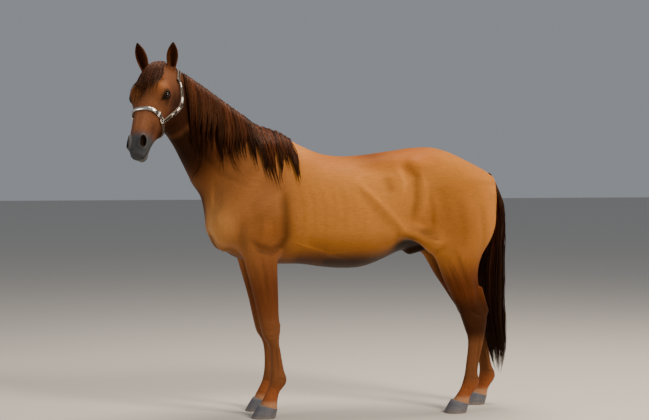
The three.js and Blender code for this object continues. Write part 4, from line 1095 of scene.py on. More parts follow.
def coatAndShadeColours(p, facing):
    # p in the horse's millimetres, facing the outward directions there
    # the coat's own colours, with painted shade where the body faces down, in grooves and between parts, and
    # a painted highlight on the breast
    x, y, z = p.T
    outer = np.abs(y)
    colour = np.tile(tone("flank"), (len(p), 1))

    def paint(name, amount):
        nonlocal colour
        colour = toned(colour, name, amount)
    paint("back", soft(1250, 1420, z) * soft(-300, -100, x))
    paint("croup", soft(520, 700, x) * soft(1000, 1250, z))
    paint("shoulder", soft(-80, -260, x))
    # painted highlight on the point of the breast
    paint("breastHighlight", spot(p, (-560, 0, 1000), (90, 200, 130)))
    paint("loin", 0.7 * spot(p, (270, -110, 1392), (95, 260, 58)))
    # painted shade over the thigh
    paint("thighShade", 0.9 * spot(p, (700, 0, 1020), (150, 400, 190)))
    # painted shade under the triceps and along the lower barrel
    paint("tricepsAndBarrelShade", 0.9 * spot(p, (-295, 0, 985), (110, 400, 95)))
    paint("tricepsAndBarrelShade", 0.5 * soft(1000, 880, z) * soft(-200, -60, x) * soft(600, 480, x))
    # painted shadow in the fold where the flank meets the stifle
    paint("sheathAndGroinShade", 0.9 * spot(p, (452, 0, 918), (44, 400, 40)))
    # painted shade on the right front of the chest, in the neck's dark tone
    paint("neck", spot(p, (-620, 20, 1140), (120, 80, 190)))
    # painted shade where the skin faces down under the barrel and on its lowest part
    under = soft(0.05, -0.85, facing[:, 2]) * soft(1080, 930, z)
    lowest = soft(900, 815, z) * soft(-200, -120, x) * soft(560, 460, x)
    paint("bellyShade", np.maximum(under * soft(-460, -380, x), lowest))
    neck = neckLocal(p)
    onNeck = soft(-60, 160, neck[:, 0]) * soft(-150, -260, x) * soft(1000, 1080, z)
    # the neck's own darker red with painted shade in it, and painted shade in the throat under the jaw
    paint("neck", onNeck)
    paint("throat", onNeck * soft(-40, -130, neck[:, 1]) * soft(60, 240, neck[:, 0]))
    paint("withers", 0.85 * spot(p, (-140, -30, 1420), (120, 240, 90)))
    # painted shade between the legs under the body
    paint("inner", soft(90, 20, outer) * soft(1000, 900, z) * 0.8)
    # painted shadow in the groin, darkest at the sheath
    groin = 1.6 * spot(p, (490, 0, 880), (120, 900, 64)) * soft(200, 140, outer)
    paint("sheathAndGroinShade", np.maximum(groin, 1.5 * spot(p, (535, 0, 855), (110, 110, 70))))
    # forearm, gaskin and hock tones are partly the coat's own darker legs and partly painted shade
    legs = soft(960, 660, z - 26 * np.sin(x / 55)) * (x < 0)
    legs = np.maximum(legs, soft(930, 620, z - 0.35 * (x - 650) - 22 * np.sin(x / 48)) * (x > 0))
    paint("forearm", legs)
    paint("gaskin", soft(860, 620, z - 0.35 * (x - 700)) * (x > 400))
    paint("hock", soft(660, 560, z) * (x > 400))
    paint("cannon", soft(620, 430, z) * (x < 0) + 0.75 * soft(440, 360, z) * (x > 0))
    paint("pastern", soft(200, 130, z) * 0.85)
    paint("coronet", soft(98, 76, z) * 0.6)
    front = x < 0
    for pair, mask in (("fore", front), ("hind", ~front)):
        for side, sign in (("left", -1), ("right", 1)):
            part = mask & (z < 960) & (y * sign > 0)
            if part.any():
                q = legLocal(pair, side, p[part])
                # painted shade on each leg's inner side
                inside = soft(0, -26, q[:, 1] - (foreTrack if pair == "fore" else hindTrack))
                colour[part] = toned(colour[part], "inner", 0.35 * inside * soft(200, 500, q[:, 2]))
    local = headLocal(p)
    head = headShare(p)
    down, left, out = local[:, 0], np.abs(local[:, 1]), local[:, 2]
    side = np.stack([down, left, out], 1)
    paint("face", head)
    # painted shade on the jowl and on the lower, throat-side part of the head
    paint("cheek", head * np.maximum(spot(side, (170, 90, -150), (110, 60, 80)),
                                     soft(-50, -170, out) * soft(470, 370, down)))
    paint("brow", head * spot(side, (176, 60, 0), (46, 34, 34)))
    paint("bridge", 0.8 * head * spot(side, (380, 20, 6), (90, 34, 26)))
    # a darker patch in front of the ring, in the same dark tone
    paint("cheek", 0.7 * head * spot(side, (415, 60, -62), (56, 34, 44)))
    u, v, w = eyeCoordinates(side)
    # the lids' own dark skin, and painted shade in the hollow below the eye
    lid = np.exp(-(np.maximum(lidEdge(u * 0.72, v), 0) / 13) ** 2) * (np.abs(w) < 60)
    under = np.exp(-((u - 4) / 40) ** 2 - ((v + 26) / 22) ** 2) * (w > -30)
    paint("eyeSkinAndHollowShade", head * np.maximum(lid, 0.72 * under))
    paint("muzzle", head * soft(415, 486, down - 0.28 * (out + 60)) * 0.96)
    paint("lip", head * soft(498, 530, down) * soft(-92, -108, out) * 0.8)
    # the nostril's hollow is painted near black: painted shade
    rim = np.exp(-(np.maximum(nostrilMass(side), 0) / 5.0) ** 2)
    paint("lip", head * np.exp(-((nostrilMass(side) - 7) / 5) ** 2) * (down > 440) * 0.7)
    paint("nostril", head * rim * (down > 440))
    # painted shade along the crease of the mouth
    crease = np.exp(-(mouthLine(side) / 3.0) ** 2) * (down > 458)
    paint("nostril", head * crease * 0.8)
    # the relief is painted into the colour as well as shaped
    reliefShade = reliefAt(p) + head * relief(side, faceRelief)
    colour = colour * (1 + 0.03 * np.clip(reliefShade, -14, 6))[:, None]       # painted shade in sunk lines, painted highlight on raised ones
    for name in ("left", "right"):
        base, axis, across, opening, length = earFrame(name)
        d = p - base
        t, o = d @ axis / length, d @ opening
        ear = (np.linalg.norm(d - (d @ axis)[:, None] * axis, axis=1) < 34) & (t > 0.08) & (t < 1.1)
        inward = soft(-0.1, 0.25, facing @ opening) * soft(0.06, 0.2, t)
        edge = soft(0.86, 1.0, t) + 0.5 * soft(0.5, 0.95, t) * np.exp(-((o - 5) / 5) ** 2)
        paint("earInside", ear * inward * 0.95)
        paint("earTip", ear * np.clip(edge, 0, 1) * 0.9)
    return colour


def layOf(p):
    # the way the hair lies, before it is laid flat on the skin
    x, _, z = p.T
    lay = np.tile(vec(1, 0, -0.35), (len(p), 1))
    lay[:, 2] -= 0.5 * soft(1250, 950, z)
    lay[:, 2] += 0.35 * soft(1300, 1420, z)
    hip = soft(330, 480, x)
    lay = lay * (1 - hip)[:, None] + hip[:, None] * vec(0.35, 0, -1)
    flank = np.exp(-((x - 440) / 80) ** 2 - ((z - 1040) / 110) ** 2)
    lay += flank[:, None] * vec(-1.6, 0, 1.4)              # the swirl in front of the stifle
    legs = soft(1000, 800, z)[:, None]
    lay = lay * (1 - legs) + legs * vec(0.12, 0, -1)
    along = (p - neckStart) @ neckAxis
    neck = (soft(-120, 120, along) * (x < -200) * (z > 1000))[:, None]
    lay = lay * (1 - neck) + neck * (-neckAxis * 0.8 + vec(0, 0, -0.45))
    chest = soft(-470, -540, x) * soft(1300, 1150, z)
    lay = lay * (1 - chest)[:, None] + chest[:, None] * vec(0.1, 0, -1)
    head = headShare(p)[:, None]
    local = headLocal(p)
    face = np.tile(faceDown, (len(p), 1)) - 0.25 * soft(-60, -160, local[:, 2])[:, None] * faceOut
    lay = lay * (1 - head) + head * face
    ears = ((z > 1840) & (x < -740))[:, None]
    return unit(np.where(ears, vec(0, 0, 1), lay))


def setValues(mesh, name, kind, values):
    # values kept on the points of a mesh
    attribute = mesh.attributes.new(name, kind, "POINT")
    field = {"FLOAT_COLOR": "color", "FLOAT_VECTOR": "vector", "FLOAT": "value", "FLOAT2": "vector"}[kind]
    if kind == "FLOAT_COLOR":
        values = np.concatenate([values, np.ones((len(values), 1))], 1)
    attribute.data.foreach_set(field, np.asarray(values, np.float32).ravel())


def coatMaterial(name, tuft=False):
    # short, well-groomed chestnut hair: satin, with a warm gloss along the lie and fine dark partings
    material, tree, shader = newMaterial(name)
    place = addNode(tree, "ShaderNodeTexCoord").outputs["Object"]
    # this attribute holds the coat's colour with its painted shade and painted highlight
    tint = addNode(tree, "ShaderNodeAttribute", {"attribute_name": "coatColour"}).outputs["Color"]
    legs = addNode(tree, "ShaderNodeAttribute", {"attribute_name": "onLegs"}).outputs["Fac"]
    front = addNode(tree, "ShaderNodeAttribute", {"attribute_name": "onFront"}).outputs["Fac"]
    fine, long = 1000 / 2.6, 1000 / 30      # strokes 2.6 mm wide, coarser than hair so that they show
    patterns = {}
    for key, scale, turn, detail in (
            ("lying", (long, fine, fine), 0.35, 2.5), ("slanted", (fine, fine, long), -0.75, 2.5),
            ("down", (fine, fine, long), 0, 2.5), ("lyingLocks", (16, 130, 130), 0.35, 3.0),     # 8 x 60 mm
            ("hangingLocks", (130, 130, 14), 0, 3.0), ("patches", (9, 9, 9), 0, 3.0),            # 110 mm
            ("mottle", (60, 60, 60), 0, 3.0)):                                                   # 16 mm
        patterns[key] = pattern(tree, place, scale, detail, turn)

    def byPlace(onBody, onChest, onLegs):
        both = addNode(tree, "ShaderNodeMix", {"data_type": "RGBA", 0: front, 6: patterns[onBody],
                                               7: patterns[onChest]}).outputs[2]
        return addNode(tree, "ShaderNodeMix", {"data_type": "RGBA", 0: legs, 6: both,
                                               7: patterns[onLegs]}).outputs[2]
    hair = byPlace("lying", "slanted", "down")
    locks = byPlace("lyingLocks", "hangingLocks", "hangingLocks")
    mottle = patterns["mottle"]
    shade = 1.0
    if tuft:
        shade = addNode(tree, "ShaderNodeAttribute", {"attribute_name": "ownShade"}).outputs["Fac"]
    for source, swing, least in ((hair, 0.42, 0.79), (mottle, 0.16, 0.92), (patterns["patches"], 0.22, 0.89),
                                 (locks, 0.36, 0.82)):
        part = addNode(tree, "ShaderNodeMath", {"operation": "MULTIPLY_ADD", 0: source, 1: swing, 2: least})
        shade = addNode(tree, "ShaderNodeMath", {"operation": "MULTIPLY", 0: shade,
                                                 1: part.outputs[0]}).outputs[0]
    colour = addNode(tree, "ShaderNodeMix", {"data_type": "RGBA", "blend_type": "MULTIPLY", 0: 1.0,
                                             6: tint, 7: shade}).outputs[2]
    rough = addNode(tree, "ShaderNodeMath", {"operation": "MULTIPLY_ADD", 0: hair, 1: 0.2, 2: 0.44})
    reliefs = [(hair, 0.0009, 0.55), (locks, 0.0022, 0.5), (mottle, 0.0016, 0.35)]
    finishShader(tree, shader, reliefs, {"Base Color": colour, "Roughness": rough.outputs[0],
                                         "Specular IOR Level": 0.1, "Specular Tint": "#ffc07a"})
    return material


def skinPlaces():
    # the skin's points in the horse's millimetres, and its outward directions there
    normals = np.empty(len(skin.data.vertices) * 3)
    skin.data.vertices.foreach_get("normal", normals)
    return pointsOf(skin) * 1000 - frameShift, normals.reshape(-1, 3)


def dressSkin():
    points, normals = skinPlaces()
    setValues(skin.data, "coatColour", "FLOAT_COLOR", coatAndShadeColours(points, normals))
    setValues(skin.data, "onLegs", "FLOAT", soft(980, 800, points[:, 2]))
    setValues(skin.data, "onFront", "FLOAT", soft(-380, -520, points[:, 0]))
    skin.data.materials.append(coatMaterial("sleekChestnutCoat"))


dressSkin()
print("skin coloured")


# eyes

def makeEye(side):
    # a wet dark eye; its own place, in radii, is kept as an attribute for the iris and pupil
    sign = 1 if side == "left" else -1
    rings, count = ((36, 56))
    axes = np.stack([eyeAlong, eyeUp, eyeOut], 1)
    tilt = np.repeat(math.pi * np.arange(1, rings) / rings, count)
    turn = np.tile(2 * math.pi * np.arange(count) / count, rings - 1)
    around = np.stack([np.sin(tilt) * np.cos(turn), np.sin(tilt) * np.sin(turn), np.cos(tilt)], 1)
    local = np.concatenate([[(0, 0, 1)], around, [(0, 0, -1)]])
    bulge = 1 + 0.035 * soft(0.8, 1.0, local[:, 2])        # the cornea stands a little proud
    place = (local * bulge[:, None] * eye["ball"]) @ axes.T + eye["place"]
    place = headTop + (place * (1, sign, 1)) @ headAxes.T
    last = len(local) - 1
    faces = [(0, 1 + j, 1 + (j + 1) % count) for j in range(count)]
    faces += [(last, last - count + (j + 1) % count, last - count + j) for j in range(count)]
    faces += tubeFaces(rings - 1, count, 1)
    piece = meshObject(f"eyeball_{side}", placed(place), faces, eyeMaterial)
    setValues(piece.data, "eyePlace", "FLOAT_VECTOR", local)
    cleanFaces(piece)
    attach(piece, "root")
    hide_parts(f"eye_{side}")


def makeEyeMaterial():
    # wet cornea over a dark brown iris, with a wide level pupil and a bluish bloom in it
    material, tree, shader = newMaterial("wetDarkBrownEye")
    place = addNode(tree, "ShaderNodeAttribute", {"attribute_name": "eyePlace"}).outputs["Vector"]
    parts = addNode(tree, "ShaderNodeSeparateXYZ", {"Vector": place}).outputs
    wide = addNode(tree, "ShaderNodeMath", {"operation": "POWER", 0: parts["X"], 1: 2.0}).outputs[0]
    high = addNode(tree, "ShaderNodeMath", {"operation": "POWER", 0: parts["Y"], 1: 2.0}).outputs[0]
    reach = {}
    for key, squash in (("pupil", 3.2), ("white", 1.0)):
        sum2 = addNode(tree, "ShaderNodeMath", {"operation": "MULTIPLY_ADD", 0: high, 1: squash, 2: wide})
        reach[key] = addNode(tree, "ShaderNodeMath", {"operation": "SQRT", 0: sum2.outputs[0]}).outputs[0]
    fibres = pattern(tree, place, (27, 27, 3), 4.0)
    iris = addNode(tree, "ShaderNodeValToRGB", {
        "Fac": fibres, "stops": [(0.3, "#140a05"), (0.55, "#241208"), (0.8, "#38200f")]}).outputs["Color"]
    white = addNode(tree, "ShaderNodeValToRGB", {
        "Fac": reach["white"], "stops": [(0.0, 0.0), (0.70, 0.0), (0.78, 1.0)]}).outputs["Color"]
    hole = addNode(tree, "ShaderNodeValToRGB", {
        "Fac": reach["pupil"], "stops": [(0.0, 1.0), (0.36, 1.0), (0.46, 0.0)]}).outputs["Color"]
    colour = iris
    for amount, over in ((white, "#1c100c"), (hole, "#06070b")):
        colour = addNode(tree, "ShaderNodeMix", {"data_type": "RGBA", 0: amount, 6: colour,
                                                 7: over}).outputs[2]
    feed(tree, shader, {"Base Color": colour, "Roughness": 0.09, "IOR": 1.36, "Specular IOR Level": 0.4})
    return material


eyeMaterial = makeEyeMaterial()
for name in ("left", "right"):
    makeEye(name)
print("eyes made")


# hooves

hoofShape = {
    "fore": {"toe": -385, "heel": -254, "top": (-339, -243), "ground": 62, "coronet": 48, "middle": -290},
    "hind": {"toe": 660, "heel": 784, "top": (703, 798), "ground": 57, "coronet": 44, "middle": 750},
    "height": 70, "ringStep": 7.5, "ringDepth": 0.5,
}


def makeHoof(pair, side):
    # horn wall with growth rings, a rolled toe, and a hollow sole with its frog
    shape = hoofShape[pair]
    sign = -1 if side == "left" else 1
    shift = foreSetBack if pair == "fore" and side == "right" else 0
    if pair == "hind" and side == "right":
        shift = hindStance(np.array([hoofShape["height"]]))[0][0]
    track = foreTrack if pair == "fore" else hindTrack
    count, levels = ((64, 26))

    def outline(share, inset):
        front = mix(shape["toe"], shape["top"][0], share) + inset
        back = mix(shape["heel"], shape["top"][1], share) - inset
        half = mix(shape["ground"], shape["coronet"], share) - inset
        angle = 2 * math.pi * np.arange(count) / count
        c = np.cos(angle)
        x = (front + back) / 2 - (back - front) / 2 * np.sign(c) * np.abs(c) ** 0.85
        return x, half * np.sin(angle)
    points = []

    def ring(share, inset, z=None):
        x, y = outline(share, inset)
        top = hoofShape["height"] - 10 - 0.3 * (x - shape["middle"])
        points.extend(np.stack([x + shift, y + sign * track, top * share if z is None else z + 0 * x], 1))
    rows = 0
    for inset, z in ((60, 3), (40, 4.5), (22, 5.5), (11, 3.5), (8, 0.0), (2.2, 0.0), (0.6, 1.2)):
        ring(0, min(inset, 0.93 * shape["ground"]), z)
        rows += 1
    for i in range(levels + 1):
        share = mix(0.045, 1, i / levels)
        rise = hoofShape["height"] * share
        groove = hoofShape["ringDepth"] * (0.5 - 0.5 * math.cos(2 * math.pi * rise / hoofShape["ringStep"]))
        ring(share, groove if i < levels else 1.2)
        rows += 1
    for inset in (6, 16):
        ring(1, inset)
        rows += 1
    points = np.array(points)
    faces = tubeFaces(rows, count) + [tuple(range(count)), tuple(range((rows - 1) * count, rows * count))]
    piece = meshObject(f"hoof_{pair}_{side}", placed(points), faces, hoofMaterial)
    cleanFaces(piece, 4)
    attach(piece, "root")
    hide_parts(f"{pair}_hoof_{side}")


def makeHoofMaterial():
    # grey-blue horn: dull, streaked from the coronet down, ringed across, dusty at the ground
    material, tree, shader = newMaterial("greyHoofHorn")
    place = addNode(tree, "ShaderNodeTexCoord").outputs["Object"]
    height = addNode(tree, "ShaderNodeSeparateXYZ", {"Vector": place}).outputs["Z"]
    height = addNode(tree, "ShaderNodeMath", {"operation": "MULTIPLY", 0: height, 1: 10.0}).outputs[0]
    streaks = pattern(tree, place, (450, 450, 18), 3.0)
    rings = pattern(tree, place, (8, 8, 260), 2.0)
    tones = []
    for source, stops in (
            (streaks, [(0.25, "#3f4048"), (0.5, "#5a5c66"), (0.78, "#787880")]),
            (rings, [(0.3, "#9a9aa2"), (0.7, "#ffffff")]),
            (height, [(0.0, 0.55), (0.16, 0.12), (0.5, 0.0)]),
            (height, [(0.58, 0.0), (0.78, 0.6)])):
        tones.append(addNode(tree, "ShaderNodeValToRGB", {"Fac": source, "stops": stops}).outputs["Color"])
    colour, ringed, dusty, pale = tones
    for mode, amount, over in (("MULTIPLY", 0.5, ringed), ("MIX", dusty, "#8d7a62"),
                               ("MIX", pale, "#9a9184")):
        colour = addNode(tree, "ShaderNodeMix", {"data_type": "RGBA", "blend_type": mode, 0: amount,
                                                 6: colour, 7: over}).outputs[2]
    rough = addNode(tree, "ShaderNodeMath", {"operation": "MULTIPLY_ADD", 0: streaks, 1: 0.25, 2: 0.42})
    finishShader(tree, shader, [(streaks, 0.0006, 0.5), (rings, 0.0008, 0.5)],
                 {"Base Color": colour, "Roughness": rough.outputs[0]})
    return material


hoofMaterial = makeHoofMaterial()
for legPair in ("fore", "hind"):
    for name in ("left", "right"):
        makeHoof(legPair, name)
print("hooves made")


# hair of mane, forelock and tail: strands in locks, drawn along guides

def castOut(start, toward, level):
    # how far along each direction the body's surface, raised by a level, lies from a point inside it
    reach = np.full(len(start), 2.0)
    inside = np.zeros(len(start))
    going = np.ones(len(start), bool)
    for _ in range(120):
        index = np.nonzero(going)[0]
        if not len(index):
            break
        d = bodyDistance(start[index] + toward[index] * reach[index, None]) - level
        out = (d > 0) | (reach[index] > 900)
        inside[index[~out]] = reach[index[~out]]
        reach[index[~out]] += np.maximum(-d[~out] * 0.6, 2.5)
        going[index[out]] = False
    for _ in range(10):
        middle = (inside + reach) / 2
        out = bodyDistance(start + toward * middle[:, None]) - level > 0
        reach = np.where(out, middle, reach)
        inside = np.where(out, inside, middle)
    return inside


def inNeck(s, p):
    s, p = np.asarray(s, float), np.asarray(p, float)
    side = neckMiddle(s)[0] + neckLean(s)[0] * p
    return neckStart + s[:, None] * neckAxis + p[:, None] * neckCrest + side[:, None] * neckRight


mane = {
    "from": 545, "to": -128, "locks": 30, "strands": 52, "steps": 16, "radius": 1.4,
    "seed": 11,
}
maneLength = smoothTable([
    [-170, 230], [-160, 240], [-60, 290], [60, 345], [200, 400], [330, 470], [430, 540], [500, 520],
    [545, 380], [560, 300], [600, 120]])


def maneGrid():
    # places and outward directions over the neck, by root along the neck and by drop
    roots = np.linspace(mane["to"] - 20, mane["from"] + 20, 56)
    drops = np.concatenate([[-30, -12, 0.0], np.linspace(14, 570, 32)])
    s, drop = [g.ravel() for g in np.meshgrid(roots, drops, indexing="ij")]
    middle = inNeck(s, 0 * s)
    upward = unit(inNeck(s, 0 * s + 100) - middle)
    crest = middle + upward * castOut(middle, upward, 0)[:, None]
    backward = unit(np.stack([-neckAxis[0] + 0 * s, -neckAxis[1] * np.clip(s / 200, 0, 1), 0 * s], 1))
    slant = np.interp(s, [-150, -40, 120, 350, 545], [0.42, 0.12, -0.12, -0.22, -0.05])
    swept = slant * np.abs(drop) + 0.28 * np.maximum(drop - 240, 0)
    fallen = crest + backward * swept[:, None] - np.abs(drop)[:, None] * vec(0, 0, 1)
    offset = fallen - neckStart
    start = inNeck(offset @ neckAxis, offset @ neckCrest - 8)
    nearShoulder = np.clip((200 - s) / 260, 0, 1)[:, None]
    left = unit(mix(-neckRight, vec(0, -1, 0), nearShoulder))
    outward = left * np.sign(drop + 1e-6)[:, None]
    fall = start + outward * castOut(start, outward, 0)[:, None]
    onCrest = (np.abs(drop) < 1)[:, None]
    place = np.where(onCrest, crest, fall)
    outward = np.where(onCrest, upward, outward)
    near = np.exp(-(drop / 30) ** 2)[:, None]
    outward = unit(mix(outward, upward, near))
    shape = (len(roots), len(drops), 3)
    return roots, drops, place.reshape(shape), outward.reshape(shape)


def gridAt(grid, s, drop):
    roots, drops, place, outward = grid
    u = np.interp(s, roots, np.arange(len(roots)))
    v = np.interp(drop, drops, np.arange(len(drops)))
    i = np.minimum(u.astype(int), len(roots) - 2)
    j = np.minimum(v.astype(int), len(drops) - 2)
    a, b = (u - i)[..., None], (v - j)[..., None]

    def pick(values):
        low = mix(values[i, j], values[i + 1, j], a)
        return mix(low, mix(values[i, j + 1], values[i + 1, j + 1], a), b)
    return pick(place), unit(pick(outward))


def strandTree():
    # polylines become tapering tubes; inputs: the thickest radius and the sides of a tube
    tree, given = newTree("hairStrands", {"Strand radius": "Float", "Sides": "Int"})
    curve = addNode(tree, "GeometryNodeMeshToCurve", {"Mesh": given["Geometry"]})
    taper = addNode(tree, "GeometryNodeInputNamedAttribute", {"Name": "taper"})
    radius = addNode(tree, "ShaderNodeMath", {"operation": "MULTIPLY", 0: taper.outputs["Attribute"],
                                              1: given["Strand radius"]}).outputs[0]
    sized = addNode(tree, "GeometryNodeSetCurveRadius", {"Curve": curve.outputs["Curve"], "Radius": radius})
    profile = addNode(tree, "GeometryNodeCurvePrimitiveCircle", {"Radius": 1.0, "Resolution": given["Sides"]})
    tubes = addNode(tree, "GeometryNodeCurveToMesh", {"Fill Caps": True, "Curve": sized.outputs["Curve"],
                                                      "Profile Curve": profile.outputs["Curve"]})
    if "Scale" in tubes.inputs:
        feed(tree, tubes, {"Scale": radius})
    return endTree(tree, given, tubes.outputs["Mesh"])


hairTree = strandTree()


def strands(name, paths, taper, shade, radius, finish, sides=4):
    # paths: strands x steps x 3, in the horse's millimetres
    count, steps, _ = paths.shape
    mesh = bpy.data.meshes.new(name)
    mesh.vertices.add(count * steps)
    mesh.vertices.foreach_set("co", placed(paths.reshape(-1, 3)).astype(np.float32).ravel())
    first = np.arange(count)[:, None] * steps + np.arange(steps - 1)[None]
    mesh.edges.add(count * (steps - 1))
    mesh.edges.foreach_set("vertices", np.stack([first, first + 1], -1).astype(np.int32).ravel())
    setValues(mesh, "taper", "FLOAT", taper.ravel())
    setValues(mesh, "ownShade", "FLOAT", np.repeat(shade, steps))
    setValues(mesh, "alongStrand", "FLOAT", np.tile(np.linspace(0, 1, steps), count))
    root = np.stack([np.repeat((np.arange(count) * 0.754877) % 0.99, steps),
                     np.repeat((np.arange(count) * 0.569840) % 0.99, steps)], 1)
    setValues(mesh, "rootPlace", "FLOAT2", root)
    piece = linked(name, mesh)
    grow(piece, hairTree, {"Strand radius": radius / 1000, "Sides": sides, "Finish": finish})
    patchMap(piece)
    return piece


def patchMap(piece):
    # each strand or tuft is a patch about 0.003 across at its root's place on the unwrap
    mesh = piece.data
    layer = mesh.uv_layers.new(name="OFBake")
    corner = np.empty(len(mesh.loops), np.int32)
    mesh.loops.foreach_get("vertex_index", corner)
    root = np.empty(len(mesh.vertices) * 2, np.float32)
    mesh.attributes["rootPlace"].data.foreach_get("vector", root)
    share = np.empty(len(mesh.vertices), np.float32)
    mesh.attributes["alongStrand"].data.foreach_get("value", share)
    place = root.reshape(-1, 2)[corner]
    place[:, 1] += 0.003 * share[corner]
    place[:, 0] += 0.003 * ((corner % 5) / 5)
    layer.data.foreach_set("uv", place.astype(np.float32).ravel())


def hairMaterial(name, dark, middle, bright, rough):
    # coarse horse hair: strands of differing tone, glossy along their length
    material, tree, shader = newMaterial(name)
    place = addNode(tree, "ShaderNodeTexCoord").outputs["Object"]
    own = addNode(tree, "ShaderNodeAttribute", {"attribute_name": "ownShade"}).outputs["Fac"]
    share = addNode(tree, "ShaderNodeAttribute", {"attribute_name": "alongStrand"}).outputs["Fac"]
    fine = pattern(tree, place, (700, 700, 30), 2.0)
    mixed = 0.0
    for source, amount in ((own, 0.75), (fine, 0.3), (share, -0.30)):
        mixed = addNode(tree, "ShaderNodeMath", {"operation": "MULTIPLY_ADD", 0: source, 1: amount,
                                                 2: mixed}).outputs[0]
    colour = addNode(tree, "ShaderNodeValToRGB", {
        "Fac": mixed, "stops": [(0.12, dark), (0.5, middle), (0.95, bright)]}).outputs["Color"]
    finishShader(tree, shader, [(fine, 0.0004, 0.5)], {
        "Base Color": colour, "Roughness": rough, "Specular IOR Level": 0.25, "Specular Tint": "#ffb27a"})
    return material


maneMaterial = hairMaterial("darkMahoganyManeHair", "#150804", "#3d1a0b", "#94502a", 0.5)
tailMaterial = hairMaterial("blackBrownTailHair", "#0b0504", "#1d0c07", "#55230f", 0.52)


def makeMane():
    rng = np.random.default_rng(mane["seed"])
    grid = maneGrid()
    locks, each, steps = mane["locks"], mane["strands"], mane["steps"]
    paths, tapers, shades = [], [], []
    share = np.linspace(0, 1, steps)
    for k in range(locks):
        root = mix(mane["from"], mane["to"], (k + 0.5) / locks) + rng.uniform(-8, 8)
        wide = (mane["from"] - mane["to"]) / locks * rng.uniform(0.75, 1.1)
        length = maneLength([root])[0][0] * rng.uniform(0.66, 1.08)
        drift = rng.uniform(-26, 26)
        thick = rng.uniform(4, 9)
        sway = rng.uniform(0, 6.28)
        tip = rng.uniform(0.03, 0.11)
        lockShade = rng.uniform(0.25, 0.62)
        across = rng.uniform(-1, 1, each)
        layer = rng.uniform(0, 1, each)
        own = rng.uniform(-1, 1, (each, 1))
        ends = rng.uniform(0.72, 1.0, (each, 1)) * (1 - 0.28 * np.abs(across[:, None]))
        t = share[None] * ends
        close = mix(1.0, tip, soft(0.25, 1.0, share))[None]
        s = root + across[:, None] * wide * close * (1 + 0.5 * share[None]) + drift * share[None] ** 1.4
        s = s + 5 * np.sin(sway + 5.5 * t + 0.6 * own) * t + 3.5 * own * np.sin(9 * t + 3 * own)
        start = -24 * rng.uniform(0, 1, (each, 1)) * (1 - soft(0.0, 0.12, share))[None]
        drop = np.maximum(length * t, 0) + start
        place, outward = gridAt(grid, s, drop)
        crown = np.sqrt(np.maximum(1 - across ** 2, 0))[:, None]
        arch = 0.35 + 0.65 * np.sin(np.pi * np.clip(t * 1.05, 0, 1))
        level = 3 + (3 + thick * crown) * layer[:, None] * arch
        level = level * soft(-0.02, 0.07, share)[None] + 1.5
        paths.append(place + outward * level[..., None])
        taper = np.tile(soft(-0.05, 0.08, share) * (1 - 0.82 * soft(0.55, 1.0, share)), (each, 1))
        tapers.append(taper * rng.uniform(0.75, 1.15, (each, 1)))
        shades.append(np.clip(lockShade + rng.normal(0, 0.14, each) - 0.2 * (1 - layer), 0, 1))
    piece = strands("mane_hair", np.concatenate(paths), np.concatenate(tapers), np.concatenate(shades),
                    mane["radius"], maneMaterial)
    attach(piece, "root")
    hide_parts("mane")


forelock = {"strands": 700, "steps": 16, "length": 355, "radius": 1.15, "seed": 5}


def makeForelock():
    rng = np.random.default_rng(forelock["seed"])
    count, steps = forelock["strands"], forelock["steps"]
    share = np.linspace(0, 1, steps)[None]
    lock = rng.integers(0, 9, count)
    centre = (lock / 8 * 2 - 1)
    spread = np.clip(centre + rng.normal(0, 0.10, count), -1.05, 1.05)[:, None]
    length = forelock["length"] * (1 - 0.28 * np.abs(spread)) * rng.uniform(0.55, 1.0, (count, 1))
    length = np.where(rng.uniform(0, 1, (count, 1)) < 0.3, length, length * 0.72)
    pulled = mix(spread, centre[:, None], 0.75 * share)
    across = pulled * mix(38, 84, share) - 2 - 18 * share
    across = across + 4 * np.sin(4 * share + 2.2 * centre[:, None]) * share
    down = -16 + length * share
    start = headTop + down[..., None] * faceDown + across[..., None] * headLeft - 70 * faceOut
    flat = start.reshape(-1, 3)
    toward = np.tile(faceOut, (len(flat), 1))
    surface = (flat + toward * castOut(flat, toward, 0)[:, None]).reshape(count, steps, 3)
    layer = rng.uniform(0, 1, (count, 1))
    level = 2 + layer * 8 * (1 - 0.5 * np.abs(spread)) * (1 - 0.5 * share)
    level = level * soft(-0.02, 0.1, share)
    taper = soft(-0.05, 0.1, share) * (1 - 0.85 * soft(0.4, 1.0, share)) * rng.uniform(0.7, 1.1, (count, 1))
    shade = np.clip(rng.normal(0.42, 0.16, count) - 0.15 * (1 - layer[:, 0]), 0, 1)
    piece = strands("forelock_hair", surface + faceOut * level[..., None], taper, shade, forelock["radius"],
                    maneMaterial)
    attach(piece, "root")
    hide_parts("forelock")


tailRows = smoothTable([        # height, front, back, half width
    [188, 995, 1022, 14], [230, 976, 1038, 36], [285, 958, 1048, 50], [356, 940, 1057, 60],
    [438, 914, 1057, 66], [547, 886, 1055, 72], [657, 880, 1054, 73], [766, 890, 1051, 72],
    [875, 908, 1047, 68], [1000, 936, 1053, 60], [1100, 950, 1049, 52], [1171, 948, 1034, 45],
    [1240, 935, 1009, 38], [1272, 925, 990, 30], [1290, 922, 962, 20]])
tail = {"strands": 1100, "steps": 22, "radius": 1.7, "locks": 34, "seed": 8}


